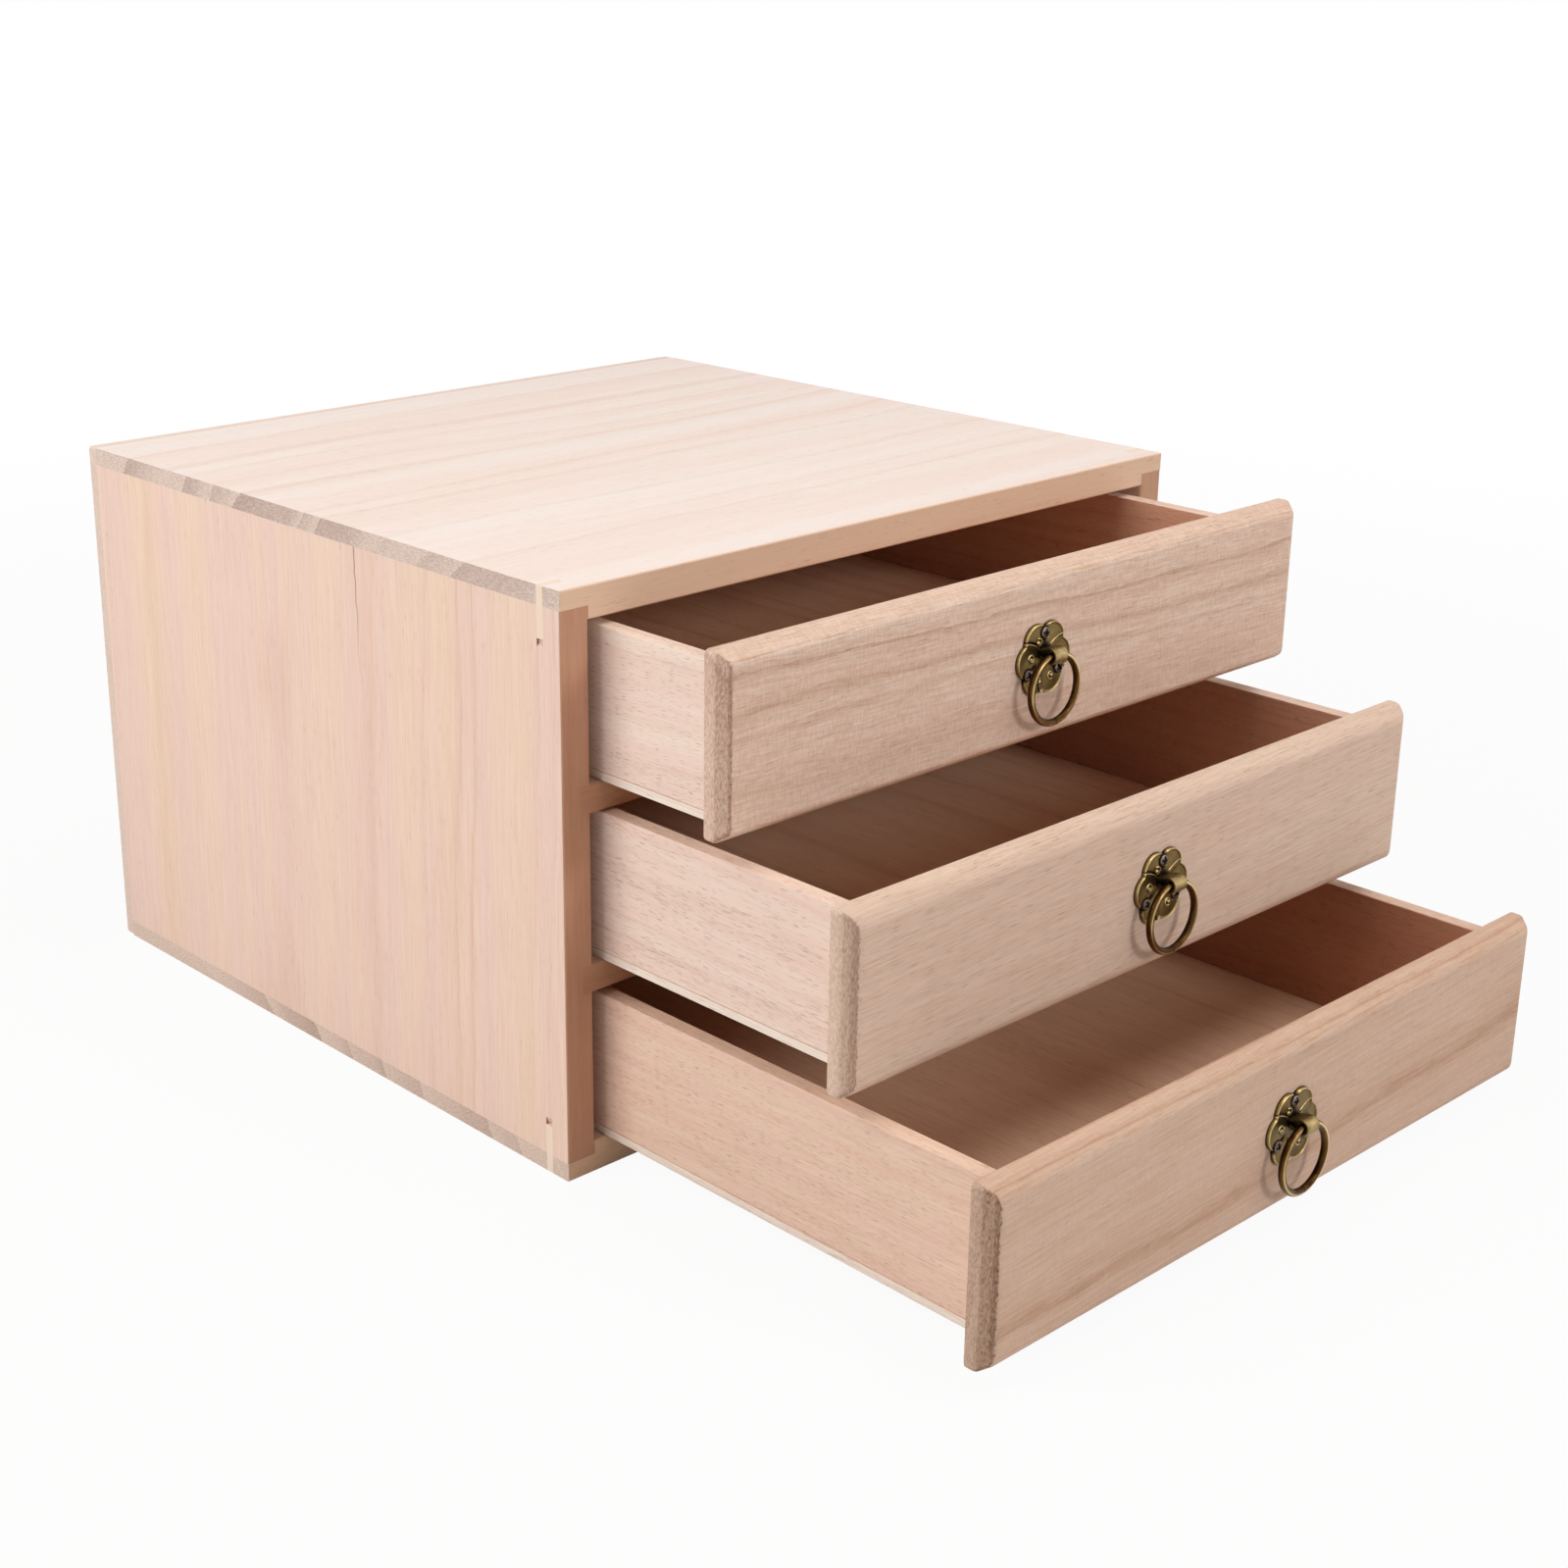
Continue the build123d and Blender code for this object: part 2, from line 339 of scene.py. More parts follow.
    def _growth_rings(self, tree: Tree, axes: tuple[Socket, ...]) -> tuple[Socket, Socket]:
        """Growth rings: the wandering distance from the pith, as a slow rise that drops at once.

        Args:
            tree: The material's node tree.
            axes: Millimetres along, across and through the board.

        Returns:
            The dark line at the end of each season, and the season's own slow darkening, both from 0 to 1.
        """
        wander = self._stretched_noise(tree, axes, self.wander_length, width=70.0, detail=1.5, shift=3.0)
        section = add_node(tree, "ShaderNodeCombineXYZ", {}, {0: axes[1], 1: axes[2]})
        radius = add_node(tree, "ShaderNodeVectorMath", {"operation": "DISTANCE"}, {
            0: section.outputs[0], 1: (*self.pith, 0.0)})
        bent = add_node(tree, "ShaderNodeMath", {"operation": "MULTIPLY_ADD"}, {
            0: wander, 1: 2 * self.wander, 2: radius.outputs["Value"]})
        ragged = self._stretched_noise(tree, axes, length=14.0, width=1.2, detail=1.0, shift=4.0)
        rough = add_node(tree, "ShaderNodeMath", {"operation": "MULTIPLY_ADD"}, {
            0: ragged, 1: self.raggedness, 2: bent.outputs[0]})
        even = add_node(tree, "ShaderNodeMath", {"operation": "DIVIDE"}, {
            0: rough.outputs[0], 1: self.ring_spacing})
        seasons = add_node(tree, "ShaderNodeTexNoise", {"noise_dimensions": "1D"}, {
            "W": even.outputs[0], "Scale": self.season_rate, "Detail": 2.0})
        turns = add_node(tree, "ShaderNodeMath", {"operation": "MULTIPLY_ADD"}, {
            0: seasons.outputs["Fac"], 1: self.season_swing, 2: even.outputs[0]})
        saw = add_node(tree, "ShaderNodeMath", {"operation": "FRACT"}, {0: turns.outputs[0]})
        whole = add_node(tree, "ShaderNodeMath", {"operation": "FLOOR"}, {0: turns.outputs[0]})
        chance = add_node(tree, "ShaderNodeTexWhiteNoise", {"noise_dimensions": "1D"}, {
            "W": whole.outputs[0]})
        shape = add_node(tree, "ShaderNodeValToRGB", {}, {"Fac": saw.outputs[0]})
        ramp = shape.color_ramp
        ramp.interpolation = "EASE"
        before, after, clear, onset = 0.85, 0.08, 0.0, 0.3
        ramp.elements[0].color = (before, before, before, 1.0)
        stops = ((self.ring_fade, after), (self.ring_rise - self.ring_foot, clear), (self.ring_rise, onset))
        for position, value in stops:
            ramp.elements.new(position).color = (value, value, value, 1.0)
        weight = add_node(tree, "ShaderNodeMapRange", {}, {
            "Value": chance.outputs["Value"], "To Min": self.ring_least, "To Max": 1.0})
        line, season = (
            add_node(tree, "ShaderNodeMath", {"operation": "MULTIPLY"}, {
                0: source, 1: weight.outputs["Result"]})
            for source in (shape.outputs["Color"], saw.outputs[0]))
        return line.outputs[0], season.outputs[0]

    def _pores(self, tree: Tree, axes: tuple[Socket, ...], rings: Socket) -> Socket:
        """Opened pores: the peaks of a fine drawn-out noise, in patches and near the growth lines.

        Args:
            tree: The material's node tree.
            axes: Millimetres along, across and through the board.
            rings: The growth lines.

        Returns:
            1 in a pore and 0 beside it.
        """
        by_ring, by_patch, blur = 0.05, 0.16, 0.07
        level, level_fall = 0.83, 0.6
        noise = self._stretched_noise(tree, axes, self.pore_length, self.pore_width, detail=0.5, shift=5.0)
        patch = self._stretched_noise(tree, axes, length=60.0, width=6.0, detail=1.0, shift=6.0)
        near = add_node(tree, "ShaderNodeMath", {"operation": "MULTIPLY_ADD"}, {
            0: rings, 1: by_ring, 2: noise})
        spread = add_node(tree, "ShaderNodeMath", {"operation": "MULTIPLY_ADD"}, {
            0: patch, 1: by_patch, 2: near.outputs[0]})
        low = level - level_fall * self.pore_cover
        mask = add_node(tree, "ShaderNodeMapRange", {"interpolation_type": "SMOOTHSTEP"}, {
            "Value": spread.outputs[0], "From Min": low, "From Max": low + blur})
        return mask.outputs["Result"]

    def _facing(self, tree: Tree, place: bpy.types.Node, way: Triple, both: bool = True,
                torn: Socket | None = None) -> Socket:
        """How far a face looks one way.

        Args:
            tree: The material's node tree.
            place: The Texture Coordinate node.
            way: The direction, as a unit vector.
            both: Whether the opposite direction counts too.
            torn: A noise that frays the border, or None.

        Returns:
            1 where the face looks that way and 0 where it lies along it.
        """
        facing = add_node(tree, "ShaderNodeVectorMath", {"operation": "DOT_PRODUCT"}, {
            0: place.outputs["Normal"], 1: way})
        size = facing.outputs["Value"]
        if both:
            size = add_node(tree, "ShaderNodeMath", {"operation": "ABSOLUTE"}, {0: size}).outputs[0]
        begin, blur = 0.35, 0.4
        if torn is not None:
            size = add_node(tree, "ShaderNodeMath", {"operation": "MULTIPLY_ADD"}, {
                0: torn, 1: self.fray, 2: size}).outputs[0]
            begin, blur = begin + self.fray / 2, 0.15
        mask = add_node(tree, "ShaderNodeMapRange", {"interpolation_type": "SMOOTHSTEP"}, {
            "Value": size, "From Min": begin, "From Max": begin + blur})
        return mask.outputs["Result"]

    def _fissure(self, tree: Tree, axes: tuple[Socket, ...]) -> Socket:
        """The split: places near a slightly wavering line along the grain, faded out at its far end.

        Args:
            tree: The material's node tree.
            axes: Millimetres along, across and through the board.

        Returns:
            Nearly 1 in the split and 0 away from it.
        """
        split, (along, across, _) = self.fissure, axes
        drift = add_node(tree, "ShaderNodeTexNoise", {"noise_dimensions": "1D"}, {"W": along, "Scale": 0.09})
        line = add_node(tree, "ShaderNodeMath", {"operation": "MULTIPLY_ADD"}, {
            0: along, 1: split.slope, 2: split.offset})
        bent = add_node(tree, "ShaderNodeMath", {"operation": "MULTIPLY_ADD"}, {
            0: drift.outputs["Fac"], 1: split.waver, 2: line.outputs[0]})
        gap = add_node(tree, "ShaderNodeMath", {"operation": "SUBTRACT"}, {0: across, 1: bent.outputs[0]})
        size = add_node(tree, "ShaderNodeMath", {"operation": "ABSOLUTE"}, {0: gap.outputs[0]})
        near = add_node(tree, "ShaderNodeMapRange", {"interpolation_type": "SMOOTHSTEP"}, {
            "Value": size.outputs[0], "From Min": split.core, "From Max": split.reach,
            "To Min": split.depth, "To Max": 0.0})
        kept = add_node(tree, "ShaderNodeMapRange", {"interpolation_type": "SMOOTHSTEP"}, {
            "Value": along, "From Min": split.end, "From Max": split.start})
        mask = add_node(tree, "ShaderNodeMath", {"operation": "MULTIPLY"}, {
            0: near.outputs["Result"], 1: kept.outputs["Result"]})
        return mask.outputs[0]

    def _colour(self, tree: Tree, figure: Figure, place: bpy.types.Node) -> Socket:
        """Lays the board's colours over each other, from its pale ground to the painted shade inside a
        drawer.

        Lines, fibres and saw marks multiply the ground by the late wood's share of the pale wood's colour,
        so that they show the same on a face and on an edge. A crease, partly face and partly edge, shows
        torn tan strips. The end grain is small cells, darker on a bevel and towards the end of each season,
        with deep pits.

        Args:
            tree: The material's node tree.
            figure: What shows on the board.
            place: The Texture Coordinate node.

        Returns:
            The colour socket.
        """
        along, across, through = figure.axes
        cells = self._stretched_noise(
            tree, (across, through, along), length=1.6, width=0.45, detail=1.5, shift=7.0)
        share = {}
        for name, source, low, high, strength in (
                ("band", figure.bands, 0.38, 0.62, 1.0),
                ("streak", figure.fibres, 0.3, 0.72, self.fibre_strength),
                ("mark", figure.marks, 0.35, 0.65, 0.14 * self.chatter),
                ("shred", figure.fibres, 0.48, 0.6, 4 * self.crease_tan),
                ("cell", cells, 0.35, 0.66, 0.5),
                ("pit", figure.torn, 0.6, 0.68, 1.0)):
            share[name] = add_node(tree, "ShaderNodeMapRange", {}, {
                "Value": source, "From Min": low, "From Max": high, "To Max": strength}).outputs["Result"]
        flat = add_node(tree, "ShaderNodeMath", {"operation": "SUBTRACT"}, {
            0: 1.0, 1: figure.edges}).outputs[0]
        grown = add_node(tree, "ShaderNodeMath", {"operation": "MULTIPLY_ADD", "use_clamp": True}, {
            0: figure.season, 1: self.end_rings, 2: share["cell"]}).outputs[0]
        sloped = add_node(tree, "ShaderNodeMath", {"operation": "MULTIPLY_ADD", "use_clamp": True}, {
            0: figure.slant, 1: self.bevel_cells, 2: grown}).outputs[0]
        pits_on_end, pits_on_bevel = 0.1 * self.pits, 1.6 * self.pits
        deepest = add_node(tree, "ShaderNodeMath", {"operation": "MULTIPLY_ADD"}, {
            0: figure.slant, 1: pits_on_bevel, 2: pits_on_end}).outputs[0]
        products = {
            "edge": (figure.edges, self.edge_strength),
            "line": (figure.rings, self.ring_strength),
            "slow": (figure.season, self.season_strength),
            "dash": (figure.pores, self.pore_strength),
            "crease": (flat, figure.edges),
            "holes": (share["pit"], deepest),
        }
        for name, (first, second) in products.items():
            share[name] = add_node(tree, "ShaderNodeMath", {"operation": "MULTIPLY", "use_clamp": True}, {
                0: first, 1: second}).outputs[0]
        tan = add_node(tree, "ShaderNodeMath", {"operation": "MULTIPLY"}, {
            0: share["crease"], 1: share["shred"]}).outputs[0]

        end_grain = linear(self.end)
        for factor, over in ((sloped, self.end_late), (share["holes"], self.pit)):
            end_grain = add_node(tree, "ShaderNodeMix", {"data_type": "RGBA"}, {
                "Factor": factor, 6: end_grain, 7: linear(over)}).outputs[2]

        deep = tuple(late / pale for late, pale in zip(linear(self.late), linear(self.pale)))
        coats = [
            (share["band"], linear(self.rosy), "MIX"),
            (share["edge"], linear(self.edge), "MIX"),
            (share["line"], deep, "MULTIPLY"),
            (share["slow"], deep, "MULTIPLY"),
            (share["streak"], deep, "MULTIPLY"),
            (share["dash"], linear(self.pore), "MIX"),
            (share["mark"], deep, "MULTIPLY"),
            (tan, linear(self.tan), "MIX"),
            (figure.ends, end_grain, "MIX"),
        ]
        if self.fissure is not None:
            coats.append((self._fissure(tree, figure.axes), linear(self.pore), "MIX"))
        # Painted shade: the face that looks into the drawer is multiplied by a darker, warmer tint.
        if self.inside is not None:
            inner = self._facing(tree, place, self.inside, both=False)
            coats.append((inner, linear(self.painted_inside_shade), "MULTIPLY"))
        colour = linear(self.pale)
        for factor, over, blend in coats:
            colour = add_node(tree, "ShaderNodeMix", {"data_type": "RGBA", "blend_type": blend}, {
                "Factor": factor, 6: colour, 7: over}).outputs[2]
        return colour

    def _height(self, tree: Tree, figure: Figure) -> Socket:
        """Height of the surface: raised fibres and late wood, sunk pores, saw marks and torn ends.

        Args:
            tree: The material's node tree.
            figure: What shows on the board.

        Returns:
            The height, in shares of the finish's relief.
        """
        late_wood, pore_depth, end_roughness = 0.5, -0.6, 7.0
        height = figure.fibres
        layers = ((figure.rings, late_wood), (figure.pores, pore_depth), (figure.marks, self.chatter))
        for source, raised in layers:
            height = add_node(tree, "ShaderNodeMath", {"operation": "MULTIPLY_ADD"}, {
                0: source, 1: raised, 2: height}).outputs[0]
        rough = add_node(tree, "ShaderNodeMath", {"operation": "MULTIPLY"}, {
            0: figure.torn, 1: end_roughness})
        mixed = add_node(tree, "ShaderNodeMix", {"data_type": "FLOAT"}, {
            "Factor": figure.ends, 2: height, 3: rough.outputs[0]})
        return mixed.outputs[0]


@dataclass(frozen=True)
class AgedBrassFinish:
    """Stamped brass, darkened with patina and rubbed bright again on its high places.

    It gives the eye olive-brown flats, golden rims and nearly black hollows. The piece's own attribute says
    how rubbed each place is, from 0 in a hollow to 1 on a rim; on the ring and the strap it also carries
    painted highlights. Sizes are in millimetres. The grit of the patina is finer in life, and drawn at a
    quarter of a millimetre so that it shows.
    """

    name: str
    hollow: str = "#1E140C"
    flat: str = "#80693E"
    rim: str = "#E3CA93"
    hollow_at: float = 0.05
    flat_at: float = 0.5
    rim_at: float = 0.92
    blotch_size: float = 2.6
    blotch_share: float = 0.34
    grit_size: float = 0.25
    grit_height: float = 0.03
    roughness: float = 0.36
    smoother: float = 0.08
    rougher: float = 0.14

    def build(self) -> bpy.types.Material:
        """Makes the material, with grain from Object coordinates, and rubbing and painted highlights from the
        piece's attribute.

        Returns:
            The brass as a Blender material.
        """
        material, tree = blank_material(self.name)
        place = add_node(tree, "ShaderNodeTexCoord", {}, {})
        rub = add_node(tree, "ShaderNodeAttribute", {"attribute_name": RUB}, {})
        blotch, grit = (
            add_node(tree, "ShaderNodeTexNoise", {}, {
                "Vector": place.outputs["Object"], "Scale": 1 / (size * MM), "Detail": detail,
                "Roughness": 0.6})
            for size, detail in ((self.blotch_size, 3.0), (self.grit_size, 2.0)))
        worn = add_node(tree, "ShaderNodeMath", {"operation": "MULTIPLY_ADD"}, {
            0: blotch.outputs["Fac"], 1: self.blotch_share, 2: rub.outputs["Fac"]})
        level = add_node(tree, "ShaderNodeMath", {"operation": "SUBTRACT"}, {
            0: worn.outputs[0], 1: self.blotch_share / 2})
        tint = add_node(tree, "ShaderNodeValToRGB", {}, {"Fac": level.outputs[0]})
        darkest, brightest = tint.color_ramp.elements
        darkest.position, darkest.color = self.hollow_at, linear(self.hollow)
        brightest.position, brightest.color = self.rim_at, linear(self.rim)
        tint.color_ramp.elements.new(self.flat_at).color = linear(self.flat)
        speckle = add_node(tree, "ShaderNodeMapRange", {}, {
            "Value": grit.outputs["Fac"], "From Min": 0.3, "From Max": 0.7,
            "To Min": self.roughness - self.smoother, "To Max": self.roughness + self.rougher})
        bump = add_node(tree, "ShaderNodeBump", {}, {
            "Strength": 0.5, "Distance": self.grit_height * MM, "Height": grit.outputs["Fac"]})
        shader = add_node(tree, "ShaderNodeBsdfPrincipled", {}, {
            "Base Color": tint.outputs["Color"], "Roughness": speckle.outputs["Result"],
            "Metallic": 1.0, "Normal": bump.outputs["Normal"]})
        add_node(tree, "ShaderNodeOutputMaterial", {}, {"Surface": shader.outputs["BSDF"]})
        return material


@dataclass(frozen=True)
class BlackenedSteelFinish:
    """Screws of oxide-blackened steel: to the eye, dark and slightly shiny heads with a worn grey edge."""

    name: str = "oxide_blackened_steel"
    dark: str = "#17120F"
    worn: str = "#8A776B"
    dark_at: float = 0.15
    wear_size: float = 0.9
    wear_share: float = 0.3
    wear_height: float = 0.03
    roughness: float = 0.38

    def build(self) -> bpy.types.Material:
        """Makes the material from a fine noise that wears the black away, and from the piece's attribute.

        Returns:
            The steel as a Blender material.
        """
        material, tree = blank_material(self.name)
        place = add_node(tree, "ShaderNodeTexCoord", {}, {})
        rub = add_node(tree, "ShaderNodeAttribute", {"attribute_name": RUB}, {})
        wear = add_node(tree, "ShaderNodeTexNoise", {}, {
            "Vector": place.outputs["Object"], "Scale": 1 / (self.wear_size * MM), "Detail": 3.0,
            "Roughness": 0.65})
        level = add_node(tree, "ShaderNodeMath", {"operation": "MULTIPLY_ADD"}, {
            0: wear.outputs["Fac"], 1: self.wear_share, 2: rub.outputs["Fac"]})
        tint = add_node(tree, "ShaderNodeValToRGB", {}, {"Fac": level.outputs[0]})
        darkest, brightest = tint.color_ramp.elements
        darkest.position, darkest.color = self.dark_at, linear(self.dark)
        brightest.color = linear(self.worn)
        bump = add_node(tree, "ShaderNodeBump", {}, {
            "Strength": 0.4, "Distance": self.wear_height * MM, "Height": wear.outputs["Fac"]})
        shader = add_node(tree, "ShaderNodeBsdfPrincipled", {}, {
            "Base Color": tint.outputs["Color"], "Roughness": self.roughness, "Metallic": 1.0,
            "Normal": bump.outputs["Normal"]})
        add_node(tree, "ShaderNodeOutputMaterial", {}, {"Surface": shader.outputs["BSDF"]})
        return material


def grid_faces(rows: int, columns: int, wrap_rows: bool = False) -> np.ndarray:
    """Quads of a grid whose columns run round and meet.

    Args:
        rows: The number of rows.
        columns: The number of points in each row.
        wrap_rows: Whether the last row also meets the first one.

    Returns:
        One row of four vertex numbers for each face.
    """
    i = np.arange(rows if wrap_rows else rows - 1)[:, None]
    j = np.arange(columns)[None, :]
    k, m = (i + 1) % rows, (j + 1) % columns
    corners = [i * columns + j, i * columns + m, k * columns + m, k * columns + j]
    return np.stack([np.broadcast_to(c, (i.size, columns)) for c in corners], -1).reshape(-1, 4)


@dataclass
class Surface:
    """A closed mesh as arrays: points in metres, quads, triangles, and how rubbed each point is (painted
    highlights included), or None.
    """

    points: np.ndarray
    quads: np.ndarray
    triangles: np.ndarray
    rub: np.ndarray | None = None

    @classmethod
    def round_tube(cls, grid: np.ndarray, rub: np.ndarray) -> "Surface":
        """A surface closed both ways, such as a ring.

        Args:
            grid: Points of the rows, shaped (rows, columns, 3).
            rub: How rubbed each point of the grid is, with the ring's painted highlights.

        Returns:
            The closed surface.
        """
        rows, columns = grid.shape[:2]
        no_triangles = np.zeros((0, 3), int)
        return cls(grid.reshape(-1, 3), grid_faces(rows, columns, True), no_triangles, rub.reshape(-1))

    @classmethod
    def pole_to_pole(cls, grid: np.ndarray, first: np.ndarray, last: np.ndarray,
                     rub: np.ndarray | None = None) -> "Surface":
        """A surface whose rows run round a solid, closed by a fan to a single point at each end.

        Args:
            grid: Points of the rows, shaped (rows, columns, 3).
            first: The point that closes the first row.
            last: The point that closes the last row.
            rub: How rubbed each point of the grid is, with the strap's painted glint, or None.

        Returns:
            The closed surface.
        """
        rows, columns = grid.shape[:2]
        points = np.vstack([grid.reshape(-1, 3), first, last])
        j = np.arange(columns)
        m = (j + 1) % columns
        count = rows * columns
        top = count - columns
        low = np.stack([np.full(columns, count), m, j], 1)
        high = np.stack([np.full(columns, count + 1), top + j, top + m], 1)
        flat = None
        if rub is not None:
            flat = np.concatenate([rub.reshape(-1), [rub[0].mean(), rub[-1].mean()]])
        return cls(points, grid_faces(rows, columns), np.vstack([low, high]), flat)

    def joined(self, other: "Surface") -> "Surface":
        """Both surfaces as one.

        Args:
            other: Another surface with its own rubbing.

        Returns:
            A surface of two separate shells.
        """
        shift = len(self.points)
        return Surface(
            np.vstack([self.points, other.points]), np.vstack([self.quads, other.quads + shift]),
            np.vstack([self.triangles, other.triangles + shift]), np.concatenate([self.rub, other.rub]))

    def outward(self) -> "Surface":
        """The same surface with its faces turned outwards, told by the sign of its volume.

        Returns:
            The surface itself, or one with every face reversed.
        """
        points = self.points - self.points.mean(0)
        quads, triangles = self.quads, self.triangles
        halves = np.vstack([quads[:, :3], quads[:, [0, 2, 3]], triangles])
        a, b, c = (points[halves[:, i]] for i in range(3))
        if np.einsum("ij,ij->i", a, np.cross(b, c)).sum() < 0:
            return Surface(self.points, quads[:, ::-1], triangles[:, ::-1], self.rub)
        return self

    def piece(self, name: str, body: str, slot: str, finish: bpy.types.Material,
              flat_faces: bool = False) -> bpy.types.Object:
        """Makes the Blender object.

        Args:
            name: The piece's name.
            body: The CAD body that it moves with.
            slot: The record's material slot; not used.
            finish: Its material.
            flat_faces: Whether large flat faces keep flat shading next to their rounded edges.

        Returns:
            The new object, at the origin.
        """
        mesh = bpy.data.meshes.new(name)
        corners = np.concatenate([self.quads.reshape(-1), self.triangles.reshape(-1)])
        sizes = np.concatenate([np.full(len(self.quads), 4), np.full(len(self.triangles), 3)])
        mesh.vertices.add(len(self.points))
        mesh.vertices.foreach_set("co", self.points.astype(np.float32).reshape(-1))
        mesh.loops.add(len(corners))
        mesh.loops.foreach_set("vertex_index", corners.astype(np.int32))
        mesh.polygons.add(len(sizes))
        mesh.polygons.foreach_set("loop_start", (np.cumsum(sizes) - sizes).astype(np.int32))
        mesh.polygons.foreach_set("use_smooth", np.ones(len(sizes), bool))
        if self.rub is not None:
            layer = mesh.attributes.new(RUB, "FLOAT", "POINT")
            layer.data.foreach_set("value", self.rub.astype(np.float32))
        mesh.update(calc_edges=True)
        mesh.validate()
        mesh.materials.append(finish)
        thing = put_in_scene(name, mesh)
        if flat_faces:
            thing.modifiers.new("flat faces", "WEIGHTED_NORMAL")
        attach(thing, body)
        LOG.info("%s: %d faces on %s", name, len(sizes), body)
        return thing


def eased(corners: list[tuple[float, float]], radii: list[float], steps: int = 5) -> np.ndarray:
    """A profile whose inner corners are rounded by arcs.

    Each arc is centred on its corner's bisector. Its points are the chord's, pushed out to the radius.

    Args:
        corners: The profile's corner points.
        radii: The radius at each corner, 0 at its two ends.
        steps: The points in each arc.

    Returns:
        The profile's points, shaped (n, 2).
    """
    points = [np.array([corners[0]])]
    for before, corner, after, radius in zip(corners, corners[1:], corners[2:], radii[1:]):
        p = np.array(corner, float)
        a = np.array(before, float) - p
        b = np.array(after, float) - p
        a, b = a / np.linalg.norm(a), b / np.linalg.norm(b)
        half = np.arccos(np.clip(a @ b, -1, 1)) / 2
        centre = p + (a + b) / np.linalg.norm(a + b) * radius / sin(half)
        start, end = p + a * radius / np.tan(half), p + b * radius / np.tan(half)
        t = np.linspace(0, 1, steps)[:, None]
        chord = (start - centre) * (1 - t) + (end - centre) * t
        points.append(centre + chord / np.linalg.norm(chord, axis=1, keepdims=True) * radius)
    points.append(np.array([corners[-1]]))
    return np.vstack(points)


def round_rectangle(half: tuple[float, float], inset: np.ndarray, radius: np.ndarray,
                    steps: int = 5) -> np.ndarray:
    """Outlines of a rectangle with rounded corners, one for each inset.

    Args:
        half: Half the width and half the height.
        inset: How far each outline is drawn in, shaped (n,).
        radius: The corner radius of each outline, shaped (n,).
        steps: The points in each corner.

    Returns:
        Points shaped (n, 4 * steps, 2), anticlockwise from the first corner.
    """
    quadrant = np.repeat(np.arange(4), steps)
    angle = (quadrant + np.tile(np.linspace(0, 1, steps), 4)) * pi / 2
    sign_x = np.where((quadrant == 0) | (quadrant == 3), 1, -1)
    sign_z = np.where(quadrant < 2, 1, -1)
    reach = inset + radius
    x = sign_x * (half[0] - reach)[:, None] + radius[:, None] * np.cos(angle)
    z = sign_z * (half[1] - reach)[:, None] + radius[:, None] * np.sin(angle)
    return np.stack([x, z], -1)


def eased_board(low: Vector, high: Vector, radius: float) -> Surface:
    """A board with all its edges rounded.

    Each row is a rounded rectangle on the board's thinnest axis, drawn in along a quarter circle at both
    faces.

    Args:
        low: The board's lowest corner, in metres.
        high: Its highest corner.
        radius: The edges' radius.

    Returns:
        The closed surface.
    """
    lowest, highest = np.array(low), np.array(high)
    size = highest - lowest
    middle = (lowest + highest) / 2
    thin = int(np.argmin(size))
    wide = [i for i in range(3) if i != thin]
    half = tuple(size[wide] / 2)
    inner = half[0] / 2
    profile = eased([(inner, 0), (0, 0), (0, size[thin]), (inner, size[thin])], [0, radius, radius, 0])[1:-1]
    corner_share = 1.2
    corner = np.full(len(profile), radius * corner_share)
    outline = round_rectangle(half, profile[:, 0], corner)
    grid = np.zeros(outline.shape[:2] + (3,))
    for i, axis in enumerate(wide):
        grid[..., axis] = middle[axis] + outline[..., i]
    grid[..., thin] = lowest[thin] + profile[:, 1][:, None]
    first, last = middle.copy(), middle.copy()
    first[thin], last[thin] = lowest[thin], highest[thin]
    return Surface.pole_to_pole(grid, first, last).outward()


def paint(node: str, finish: bpy.types.Material) -> None:
    """Gives a node that stays as it is its material.

    Args:
        node: The node's name.
        finish: Its material.
    """
    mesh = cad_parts[node].data
    mesh.materials.clear()
    mesh.materials.append(finish)
    LOG.info("%s wears %s", node, finish.name)


